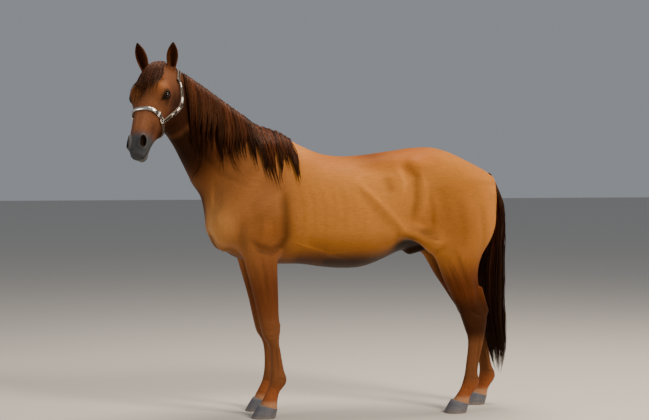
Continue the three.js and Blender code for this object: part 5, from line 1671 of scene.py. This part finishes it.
def makeTail():
    # the dock is a fleshy stem; strands leave it down its length and hang in locks
    rng = np.random.default_rng(tail["seed"])
    count, steps = tail["strands"], tail["steps"]
    lock = rng.integers(0, tail["locks"], count)
    lockTurn = rng.uniform(0, 2 * math.pi, tail["locks"])[lock]
    lockReach = np.sqrt(rng.uniform(0.02, 1, tail["locks"]))[lock]
    lockEnd = rng.uniform(186, 320, tail["locks"])[lock]
    turn = (lockTurn + rng.normal(0, 0.22, count))[:, None]
    reach = np.clip(lockReach + rng.normal(0, 0.08, count), 0.05, 0.98)[:, None]
    share = np.linspace(0, 1, steps)[None]
    rootAt = rng.uniform(0, 1, count) ** 1.3
    top = mix(1284, 1010, rootAt)[:, None]
    end = np.clip(lockEnd[:, None] + rng.uniform(-12, 120, (count, 1)), 190, 700)
    z = mix(top, end, share)
    front, back, half = [c.reshape(z.shape) for c in tailRows(z.ravel())]
    width = mix(0.28, 1.0, soft(0, 190, top - z)) * 0.95
    wave = 0.05 * np.sin(0.011 * z + 5 * lockTurn[:, None]) + 0.03 * np.sin(0.03 * z + turn * 3)
    a = (reach * np.cos(turn) + wave) * width
    b = (reach * np.sin(turn) + wave) * width
    size = np.maximum(np.hypot(a, b), 1)
    x = (front + back) / 2 + (back - front) / 2 * a / size - 4 * rng.uniform(0, 1, (count, 1)) * share
    y = half * b / size
    taper = soft(-0.04, 0.05, share) * (1 - 0.85 * soft(0.7, 1.0, share)) * rng.uniform(0.7, 1.15, (count, 1))
    shade = np.clip(rng.normal(0.36, 0.15, count) + 0.30 * soft(0.3, 0.0, rootAt), 0, 1)
    piece = strands("tail_hair", np.stack([x, y, z], -1), taper, shade, tail["radius"], tailMaterial)
    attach(piece, "root")
    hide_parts("tail")


makeMane()
makeForelock()
makeTail()
print("mane, forelock and tail made")


# halter: leather straps, silver plates and two square rings

halter = {
    "noseDown": 322, "ringOut": -94, "core": -100, "ringAngle": 88, "ringSize": 34, "ringBar": 3.3,
    "noseWidth": 24, "strapWidth": 20, "thick": 4.6, "under": -1.6, "stitchStep": 5.5, "stitchInset": 0.36,
    "stitchLength": 1.9, "threadRadius": 0.6, "ringBend": 5,
}
cheekPath = [
    (311, 66, -112), (292, 68, -128), (268, 71, -142), (235, 76, -158), (195, 82, -180), (150, 92, -192),
    (110, 98, -178), (70, 97, -148), (46, 93, -122), (26, 88, -104)]
platePlaces = {"front": (0.255, 0.34), "middle": (0.43, 0.52), "back": (0.605, 0.695), "top": (0.845, 0.92)}
fine = 1.0


def placesAround(down, start, end, count):
    # looking out from the middle of the head, by angle from the front of the face towards the left
    angle = np.radians(np.linspace(start, end, count))
    toward = np.cos(angle)[:, None] * faceOut + np.sin(angle)[:, None] * headLeft
    return np.tile(headPoint(down, 0, halter["ringOut"]), (count, 1)), toward


def placesAlong(side, start, end, count):
    # between two shares of the cheek strap's length
    path = vec(*cheekPath)
    run = np.append(0, np.cumsum(np.linalg.norm(np.diff(path, axis=0), axis=1)))
    table = smoothTable(np.column_stack([run, path]))
    down, left, out = table(np.linspace(start, end, count) * run[-1])
    mirror = 1 if side == "left" else -1
    starts = headTop + down[:, None] * faceDown + halter["core"] * faceOut
    points = headTop + down[:, None] * faceDown + (mirror * left)[:, None] * headLeft + out[:, None] * faceOut
    return starts, unit(points - starts)


def placesOver(reach, count):
    # over the poll, behind the ears
    upward = unit(-faceDown - 0.12 * faceOut)
    angle = np.radians(np.linspace(-reach, reach, count))
    toward = np.cos(angle)[:, None] * upward + np.sin(angle)[:, None] * headLeft
    return np.tile(headPoint(60, 0, -100), (count, 1)), toward


def band(name, places, width, low, high, finish, bevel=1.2, crown=0.0):
    # a strap or plate laid on the head; low and high are its two faces' heights over the flesh
    starts, toward = places
    count = len(starts)
    low, high = np.full(count, low, float), np.broadcast_to(high, count).astype(float)
    wide = np.full(count, width, float)
    wide[[0, -1]] -= 2 * bevel
    high[[0, -1]] -= bevel * 0.8
    surface = starts + toward * castOut(starts, toward, 0)[:, None]
    edge = unit(np.cross(unit(np.gradient(surface, axis=0)), toward))
    run = np.append(0, np.cumsum(np.linalg.norm(np.diff(surface, axis=0), axis=1)))
    thick = high - low
    b = np.minimum(bevel, thick * 0.4)
    half = wide / 2
    section = [(-half + b, low), (-half, low + b), (-half, high - b), (-half + b, high),
               (-half * 0.4, high + crown), (0 * half, high + crown * 1.15), (half * 0.4, high + crown),
               (half - b, high), (half, high - b), (half, low + b), (half - b, low), (0 * half, low)]
    points, place = [], []
    for across, level in section:
        start = starts + edge * across[:, None]
        points.append(start + toward * (castOut(start, toward, 0) + level)[:, None])
        place.append(np.stack([run, across, level], 1))
    size = len(section)
    points = np.stack(points, 1).reshape(-1, 3)
    faces = tubeFaces(count, size) + [tuple(range(size)), tuple(range((count - 1) * size, count * size))]
    piece = meshObject(name, placed(points), faces, finish)
    setValues(piece.data, "bandPlace", "FLOAT_VECTOR", np.stack(place, 1).reshape(-1, 3) / 1000)
    cleanFaces(piece)
    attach(piece, "root")
    return {"piece": piece, "surface": surface, "edge": edge, "toward": toward, "run": run, "high": high}


def leatherMaterial():
    # black harness leather: waxed and smooth, browner where its edges are worn, with fine pores
    material, tree, shader = newMaterial("waxedBlackHarnessLeather")
    place = addNode(tree, "ShaderNodeAttribute", {"attribute_name": "bandPlace"}).outputs["Vector"]
    across = addNode(tree, "ShaderNodeSeparateXYZ", {"Vector": place}).outputs["Y"]
    across = addNode(tree, "ShaderNodeMath", {"operation": "ABSOLUTE", 0: across}).outputs[0]
    across = addNode(tree, "ShaderNodeMath", {"operation": "MULTIPLY", 0: across, 1: 100.0}).outputs[0]
    pores = addNode(tree, "ShaderNodeTexVoronoi", {"Vector": place, "Scale": 900.0}).outputs["Distance"]
    cloud = pattern(tree, place, (120, 120, 120), 4.0)
    edge = addNode(tree, "ShaderNodeMath", {"operation": "MULTIPLY_ADD", 0: cloud, 1: 0.12, 2: across})
    tones = []
    for source, stops in (
            (edge.outputs[0], [(0.90, 0.0), (1.08, 0.8)]),
            (cloud, [(0.3, "#120e0c"), (0.7, "#241b16")]),
            (across, [(0.70, 1.0), (0.74, 0.0), (0.78, 1.0)])):
        tones.append(addNode(tree, "ShaderNodeValToRGB", {"Fac": source, "stops": stops}).outputs["Color"])
    worn, black, crease = tones
    colour = addNode(tree, "ShaderNodeMix", {"data_type": "RGBA", 0: worn, 6: black, 7: "#5a4030"}).outputs[2]
    rough = addNode(tree, "ShaderNodeMath", {"operation": "MULTIPLY_ADD", 0: cloud, 1: 0.3, 2: 0.26})
    finishShader(tree, shader, [(pores, 0.0004, 0.4), (crease, 0.0006, 0.6)],
                 {"Base Color": colour, "Roughness": rough.outputs[0]})
    return material


def silverMaterial():
    # engraved nickel silver: bright and polished, with dark tarnish left in the scrolls
    material, tree, shader = newMaterial("engravedNickelSilver")
    place = addNode(tree, "ShaderNodeAttribute", {"attribute_name": "bandPlace"}).outputs["Vector"]
    swirl = addNode(tree, "ShaderNodeTexWave", {"wave_type": "RINGS", "Vector": place, "Scale": 46.0,
                                                "Distortion": 9.0, "Detail": 1.0, "Detail Scale": 2.2})
    cut = addNode(tree, "ShaderNodeValToRGB", {"Fac": swirl.outputs["Fac"],
                                               "stops": [(0.0, 0.0), (0.16, 1.0)]}).outputs["Color"]
    scratches = pattern(tree, place, (60, 2200, 2200), 2.0)
    colour = addNode(tree, "ShaderNodeMix", {"data_type": "RGBA", 0: cut, 6: "#6d6860", 7: "#e9e6df"})
    rough = addNode(tree, "ShaderNodeMath", {"operation": "MULTIPLY_ADD", 0: scratches, 1: 0.18, 2: 0.16})
    finishShader(tree, shader, [(cut, 0.0003, 0.5), (scratches, 0.0001, 0.4)],
                 {"Base Color": colour.outputs[2], "Metallic": 1.0, "Roughness": rough.outputs[0]})
    return material


def threadMaterial():
    # waxed linen thread, pale and twisted
    material, tree, shader = newMaterial("waxedLinenThread")
    place = addNode(tree, "ShaderNodeTexCoord").outputs["Object"]
    twist = pattern(tree, place, (1500, 1500, 1500), 2.0)
    colour = addNode(tree, "ShaderNodeValToRGB", {"Fac": twist,
                                                  "stops": [(0.3, "#8c8272"), (0.7, "#cfc6b4")]})
    feed(tree, shader, {"Base Color": colour.outputs["Color"], "Roughness": 0.6})
    return material


def stitchTree():
    # a short thread on every point, along the point's run; inputs: its length and thickness
    tree, given = newTree("stitches", {"Stitch length": "Float", "Thread radius": "Float"})
    shape = addNode(tree, "GeometryNodeMeshUVSphere", {"Segments": 6, "Rings": 4, "Radius": 1.0})
    run = addNode(tree, "GeometryNodeInputNamedAttribute", {"data_type": "FLOAT_VECTOR", "Name": "run"})
    turn = addNode(tree, "FunctionNodeAlignRotationToVector", {"axis": "Z",
                                                               "Vector": run.outputs["Attribute"]})
    sizes = addNode(tree, "ShaderNodeCombineXYZ", {
        "X": given["Thread radius"], "Y": given["Thread radius"], "Z": given["Stitch length"]})
    threads = addNode(tree, "GeometryNodeInstanceOnPoints", {
        "Points": given["Geometry"], "Instance": shape.outputs["Mesh"], "Rotation": turn.outputs["Rotation"],
        "Scale": sizes.outputs["Vector"]})
    return endTree(tree, given, threads.outputs["Instances"])


def stitchAlong(strap, width):
    # where the stitches of a strap lie, and which way they run
    at = np.arange(6, strap["run"][-1] - 6, halter["stitchStep"])
    points, runs = [], []

    def pick(values):
        return np.stack([np.interp(at, strap["run"], values[:, c]) for c in range(3)], 1)
    middle, edge, toward = pick(strap["surface"]), unit(pick(strap["edge"])), unit(pick(strap["toward"]))
    high = np.interp(at, strap["run"], strap["high"])
    for sign in (-1, 1):
        start = middle + edge * (sign * halter["stitchInset"] * width) - toward * 30
        on = start + toward * (castOut(start, toward, 0) + high + 0.1)[:, None]
        points.append(on)
        runs.append(unit(np.gradient(on, axis=0)))
    return np.concatenate(points), np.concatenate(runs)


def squareRing(side):
    # a square ring of round bar, flat on the cheek
    sign = 1 if side == "left" else -1
    angle = math.radians(halter["ringAngle"])
    toward = faceOut * math.cos(angle) + headLeft * sign * math.sin(angle)
    middle = headPoint(halter["noseDown"], 0, halter["ringOut"])
    middle = middle + toward * (castOut(middle[None], toward[None], 0)[0] + halter["ringBar"] + 0.8)
    across = np.cross(toward, faceDown)
    half, bend = halter["ringSize"] / 2 - halter["ringBar"], halter["ringBend"]
    path = []
    for corner, (a, b) in enumerate(((1, 1), (-1, 1), (-1, -1), (1, -1))):
        for k in range(5):
            turn = math.pi / 2 * (corner + k / 4)
            path.append((a * (half - bend) + bend * math.cos(turn),
                         b * (half - bend) + bend * math.sin(turn)))
    path = np.array(path)
    spine = middle + path[:, :1] * faceDown + path[:, 1:] * across
    outward = unit(spine - middle)
    points, place = [], []
    sides = 12
    for k in range(sides):
        turn = 2 * math.pi * k / sides
        offset = outward * math.cos(turn) + toward * math.sin(turn)
        points.append(spine + offset * halter["ringBar"])
        place.append(np.column_stack([path / 1000, np.full(len(path), math.sin(turn) / 300)]))
    count = len(path)
    points = np.stack(points, 1).reshape(-1, 3)
    faces = [[corner % (count * sides) for corner in face] for face in tubeFaces(count + 1, sides)]
    piece = meshObject(f"square_ring_{side}", placed(points), faces, silver)
    setValues(piece.data, "bandPlace", "FLOAT_VECTOR", np.stack(place, 1).reshape(-1, 3))
    cleanFaces(piece)
    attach(piece, "root")
    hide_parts(f"cheek_ring_{side}")


def makeHalter():
    count = int(64 * fine)
    thick, under = halter["thick"], halter["under"]
    loop = 4.6 * (1 - soft(0, 0.055, np.linspace(0, 1, count)))          # turned over the ring's bar
    bothEnds = np.maximum(loop, loop[::-1])
    straps = []

    def strap(name, places, width, high, node):
        made = band(name, places, width, under, high, leather)
        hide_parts(node)
        straps.append((made, width))
    reach = halter["ringAngle"] - 14
    strap("noseband_strap", placesAround(halter["noseDown"], -reach, reach, count), halter["noseWidth"],
          thick + bothEnds, "noseband")
    strap("chin_leather", placesAround(halter["noseDown"], halter["ringAngle"] + 14,
                                       360 - halter["ringAngle"] - 14, count),
          halter["strapWidth"], thick + bothEnds, "chin_strap")
    underCheek = 3 * soft(0.75, 1, np.abs(np.linspace(-1, 1, count)))
    strap("crown_leather", placesOver(88, count), halter["strapWidth"], thick + underCheek, "crown_strap")
    for side in ("left", "right"):
        strap(f"cheek_leather_{side}", placesAlong(side, 0, 1, count), halter["strapWidth"], thick + loop,
              f"cheek_strap_{side}")
        squareRing(side)
        for name, (start, end) in platePlaces.items():
            made = band(f"cheek_{name}_silver_{side}", placesAlong(side, start, end, int(16 * fine)), 15.5,
                        thick - 0.2, thick + 2.6, silver, 1.2, 1.0)
            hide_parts(f"{name}_plate_{side}")
        sign = 1 if side == "left" else -1
        places = placesAround(halter["noseDown"], sign * 53, sign * 61, int(12 * fine))
        made = band(f"nose_keeper_silver_{side}", places, 27.5, under, thick + 2.4, silver, 1.0, 0.4)
    made = band("nose_silver", placesAround(halter["noseDown"], -44, 44, count), 16.5, thick - 0.2,
                thick + 2.8, silver, 1.3, 1.2)
    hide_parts("noseband_plate")
    seams = [stitchAlong(made, width) for made, width in straps]
    points = np.concatenate([s[0] for s in seams])
    runs = np.concatenate([s[1] for s in seams])
    mesh = bpy.data.meshes.new("strap_stitching")
    mesh.from_pydata([tuple(p) for p in placed(points)], [], [])
    setValues(mesh, "run", "FLOAT_VECTOR", runs)
    piece = linked("strap_stitching", mesh)
    grow(piece, stitchTree(), {"Stitch length": halter["stitchLength"] / 1000,
                               "Thread radius": halter["threadRadius"] / 1000, "Finish": threadMaterial()})
    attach(piece, "root")


leather = leatherMaterial()
silver = silverMaterial()
makeHalter()
print("halter made")


# tufts: the coat stands over the skin in flat, overlapping locks that follow its lie

tufts = {
    "body": 8200, "legs": 15500, "face": 15000,             # to a square metre
    "bodyLength": 24.0, "legLength": 15.0, "faceLength": 8.5, "narrow": 0.17, "lift": 0.055, "seed": 3,
    "gap": 0.7,             # how far in mm a tip may part from the skin before its tuft is shortened
}


def unwrapOf(p):
    # an unwrap of the skin by its parts: along each part, and round it
    x, y, z = p.T
    spots = np.stack([(x + 640) / 1700, (np.arctan2(y, z - 1080) / (2 * np.pi) + 0.5)], 1)
    place = np.stack([0.02 + 0.56 * spots[:, 0], 0.02 + 0.44 * spots[:, 1]], 1)
    corner = 0
    for pair, low, high in (("fore", -520, -100), ("hind", 500, 1100)):
        for side, sign in (("left", -1), ("right", 1)):
            part = (z < 930) & (y * sign > 0) & (x > low) & (x < high)
            if part.any():
                q = legLocal(pair, side, p[part])
                centre = np.interp(q[:, 2], [0, 950], [-285, -330] if pair == "fore" else [760, 740])
                turn = np.arctan2(q[:, 1] - 140, q[:, 0] - centre) / (2 * np.pi) + 0.5
                place[part] = np.stack([0.02 + 0.235 * corner + 0.215 * turn, 0.52 + 0.2 * q[:, 2] / 950], 1)
            corner += 1
    neck = neckLocal(p)
    part = (x < -300) & (z > 1050) & (neck[:, 0] > 40)
    turn = np.arctan2(neck[part, 2], neck[part, 1]) / (2 * np.pi) + 0.5
    place[part] = np.stack([0.62 + 0.36 * turn, 0.02 + 0.46 * np.clip(neck[part, 0] / 620, 0, 1)], 1)
    local = headLocal(p)
    part = headShare(p) > 0.3
    turn = np.arctan2(local[part, 1], local[part, 2] + 80) / (2 * np.pi) + 0.5
    place[part] = np.stack([0.02 + 0.6 * turn, 0.74 + 0.24 * np.clip(local[part, 0] / 570, 0, 1)], 1)
    part = (z > 1845) & (x < -740)
    place[part] = np.stack([0.66 + 0.3 * (x[part] + 1020) / 280, 0.76 + 0.2 * (z[part] - 1845) / 115], 1)
    return np.clip(place, 0.005, 0.99)


def tuftGrowth(p, normals):
    # how many tufts grow at each place, how long they are, and how far they stand up
    x, y, z = p.T
    head, legs = headShare(p), legShare(p)
    onEars = ((z > 1845) & (x < -740)).astype(float)
    face = np.maximum(head, onEars)
    crowd = mix(mix(tufts["body"], tufts["legs"], legs), tufts["face"], face)
    long = mix(mix(tufts["bodyLength"], tufts["legLength"], legs), tufts["faceLength"], face)
    stand = np.full(len(p), 1.0)

    def more(share, crowdTo, longTo, standTo):
        nonlocal crowd, long, stand
        share = np.clip(share, 0, 1)
        crowd = crowd + (crowdTo - crowd) * share
        long = long + (longTo - long) * share
        stand = stand + (standTo - stand) * share
    local = headLocal(p)
    side = local * (1, 0, 1) + np.abs(local) * (0, 1, 0)
    bare = head * soft(450, 500, side[:, 0])
    u, v, w = eyeCoordinates(side)
    bare = np.maximum(bare, head * (lidEdge(u, v) < 5) * (np.abs(w) < 50))
    crowd = crowd * (1 - bare)
    # jaw
    more(head * np.exp(-((side[:, 2] + 240) / 40) ** 2) * soft(400, 300, side[:, 0]), 16000, 17, 1.8)
    more(head * soft(455, 490, side[:, 0]) * soft(-108, -124, side[:, 2]), 9000, 13, 2.6)        # chin
    for name in ("left", "right"):
        base, axis, across, opening, length = earFrame(name)
        d = p - base
        t = d @ axis / length
        inside = onEars * soft(0.2, 0.6, normals @ opening) * (t > 0.1) * (t < 0.8)
        inside = inside * (np.linalg.norm(d - (d @ axis)[:, None] * axis, axis=1) < 34)
        more(inside, 22000, 9, 1.1)
    middle = np.exp(-(y / 26) ** 2)
    more(middle * soft(900, 820, z) * (x > -250) * (x < 480), 9500, 32, 1.8)                     # belly line
    more(middle * soft(-500, -560, x) * (z > 820) * (z < 1200), 9500, 30, 1.8)                   # breast
    more(np.exp(-((x - 455) / 60) ** 2 - ((z - 1020) / 60) ** 2), 12500, 30, 2.4)                # flank swirl
    more(np.exp(-((x + 235) / 50) ** 2 - ((z - 905) / 50) ** 2), 12500, 32, 2.2)                 # elbow
    for pair, back, low, high in (("fore", -205, 150, 230), ("hind", 850, 130, 215)):
        for name, sign in (("left", -1), ("right", 1)):
            q = legLocal(pair, name, p)
            here = (y * sign > 0) & (x < 0 if pair == "fore" else x > 0)
            rear = here * soft(back - 22, back - 4, q[:, 0])
            rear = rear * soft(low, low + 20, z) * soft(high + 20, high, z)
            more(rear, 26000, 30, 2.6)                                                           # fetlock
            crown = here * soft(96, 84, z + 0.3 * (q[:, 0] - hoofShape[pair]["middle"]))
            more(crown, 30000, 17, 1.7)                                                          # coronet
            hidden = here & (z + 0.3 * (q[:, 0] - hoofShape[pair]["middle"]) < 62)
            crowd = np.where(hidden, 0, crowd)
    above = soft(30, 0, np.abs(local[:, 1])) * head * soft(40, 0, local[:, 0])
    more(above, 14000, 26, 1.5)
    return crowd, long, stand


def tuftShape():
    # a thin closed lock, rooted a little below the skin, arched along and across, tip at (0, 1, 1)
    rows = [(0.0, 0.15, -0.3), (0.4, 0.5, 0.55), (0.76, 0.34, 0.9)]
    points, faces = [], []
    for y, half, z in rows:
        points += [(-half, y, z), (0, y, z + (0.45 if y else 0.1)), (half, y, z)]
    points.append((0, 1, 1))
    for i in (0, 3):
        faces += [(i, i + 1, i + 4, i + 3), (i + 1, i + 2, i + 5, i + 4), (i, i + 3, i + 5, i + 2)]
    faces += [(6, 7, 9), (7, 8, 9), (8, 6, 9), (0, 2, 1)]
    mesh = bpy.data.meshes.new("tuftShape")
    mesh.from_pydata(points, [], faces)
    setValues(mesh, "alongStrand", "FLOAT", np.array([p[1] for p in points]))
    bm = bmesh.new()
    bm.from_mesh(mesh)
    bmesh.ops.recalc_face_normals(bm, faces=bm.faces[:])
    for edge in bm.edges:
        edge.smooth = edge.calc_face_angle(0) < 1.2         # the outline stays crisp, the top smooth
    bm.to_mesh(mesh)
    bm.free()
    mesh.polygons.foreach_set("use_smooth", [True] * len(mesh.polygons))
    return bpy.data.objects.new("tuftShape", mesh)


def tuftTree():
    # inputs: the tuft, its width and lift as shares of its length, the seed and the finish
    tree, given = newTree("coatTufts", {"Tuft": "Object", "Width share": "Float", "Lift share": "Float",
                                        "Seed": "Int"})
    field = {"Width share": given["Width share"], "Lift share": given["Lift share"]}
    for name, kind in (("crowd", "FLOAT"), ("lay", "FLOAT_VECTOR"), ("long", "FLOAT"), ("stand", "FLOAT")):
        field[name] = addNode(tree, "GeometryNodeInputNamedAttribute",
                              {"data_type": kind, "Name": name}).outputs["Attribute"]
    for step, (name, low, high) in enumerate((
            ("sway", -0.22, 0.22), ("longer", 0.72, 1.2), ("wider", 0.75, 1.25), ("higher", 0.5, 1.15),
            ("ownShade", 0.88, 1.12)), 1):
        seed = addNode(tree, "ShaderNodeMath", {"operation": "ADD", 0: given["Seed"], 1: step}).outputs[0]
        field[name] = addNode(tree, "FunctionNodeRandomValue",
                              {"data_type": "FLOAT", 2: low, 3: high, "Seed": seed}).outputs[1]
    for name, first, second in (
            ("long", "long", "longer"), ("wide", "long", "Width share"), ("wide", "wide", "wider"),
            ("high", "long", "Lift share"), ("stand", "stand", "higher"), ("high", "high", "stand")):
        field[name] = addNode(tree, "ShaderNodeMath", {"operation": "MULTIPLY", 0: field[first],
                                                       1: field[second]}).outputs[0]
    grown = addNode(tree, "GeometryNodeDistributePointsOnFaces", {
        "Mesh": given["Geometry"], "Density": field["crowd"], "Seed": given["Seed"]})
    upright = addNode(tree, "FunctionNodeAlignRotationToVector", {
        "axis": "Z", "Vector": grown.outputs["Normal"]})
    laid = addNode(tree, "FunctionNodeAlignRotationToVector", {
        "axis": "Y", "pivot_axis": "Z", "Rotation": upright.outputs["Rotation"], "Vector": field["lay"]})
    sway = addNode(tree, "ShaderNodeCombineXYZ", {"Z": field["sway"]})
    swayed = addNode(tree, "FunctionNodeRotateRotation", {
        "rotation_space": "LOCAL", "Rotation": laid.outputs["Rotation"], "Rotate By": sway.outputs["Vector"]})
    sizes = addNode(tree, "ShaderNodeCombineXYZ", {"X": field["wide"], "Y": field["long"],
                                                   "Z": field["high"]})
    shaded = addNode(tree, "GeometryNodeStoreNamedAttribute", {
        "data_type": "FLOAT", "Name": "ownShade", "Geometry": grown.outputs["Points"],
        "Value": field["ownShade"]})
    tuft = addNode(tree, "GeometryNodeObjectInfo", {"Object": given["Tuft"]})
    stuck = addNode(tree, "GeometryNodeInstanceOnPoints", {
        "Points": shaded.outputs["Geometry"], "Instance": tuft.outputs["Geometry"],
        "Rotation": swayed.outputs["Rotation"], "Scale": sizes.outputs["Vector"]})
    return endTree(tree, given, stuck.outputs["Instances"])


def makeTufts():
    points, normals = skinPlaces()
    crowd, long, stand = tuftGrowth(points, normals)
    lay = layOf(points)
    flat = unit(lay - (lay * normals).sum(1)[:, None] * normals)
    parted = np.abs(skinDistance(points + flat * long[:, None]))
    long = long * np.sqrt(np.clip(tufts["gap"] * stand ** 1.5 / np.maximum(parted, 0.1), 0.1, 1))
    x, y, z = points.T
    isHead = (headShare(points) > 0.3) | ((z > 1845) & (x < -740))
    along = (points - neckStart) @ neckAxis
    regions = {
        "head": isHead,
        "neck": ~isHead & (x < -250) & (z > 930) & (along > -120),
        "barrel": None,
        "quarters": ~isHead & (x > 330) & (z > 700),
        "fore_legs": ~isHead & (x < -150) & (z <= 930),
        "hind_legs": (x > 450) & (z <= 700),
    }
    others = np.zeros(len(points), bool)
    for mask in regions.values():
        if mask is not None:
            others |= mask
    regions["barrel"] = ~others
    finish = coatMaterial("chestnutCoatTufts", tuft=True)
    tree = tuftTree()
    shape = tuftShape()
    total = 0
    for number, (name, mask) in enumerate(regions.items()):
        mesh = skin.data.copy()
        mesh.materials.clear()
        setValues(mesh, "crowd", "FLOAT", crowd * mask * (1))
        setValues(mesh, "long", "FLOAT", long / 1000)
        setValues(mesh, "stand", "FLOAT", stand)
        setValues(mesh, "lay", "FLOAT_VECTOR", lay)
        setValues(mesh, "rootPlace", "FLOAT2", unwrapOf(points))
        piece = linked(f"coat_{name}", mesh)
        grow(piece, tree, {"Tuft": shape, "Width share": tufts["narrow"], "Lift share": tufts["lift"],
                           "Seed": tufts["seed"] + number, "Finish": finish})
        cleanFaces(piece, 3, outward=False)
        patchMap(piece)
        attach(piece, "root")
        total += len(piece.data.polygons)
        print("  coat", name, len(piece.data.polygons), "triangles")
    bpy.data.objects.remove(shape)
    print("tufts:", total, "triangles")


makeTufts()
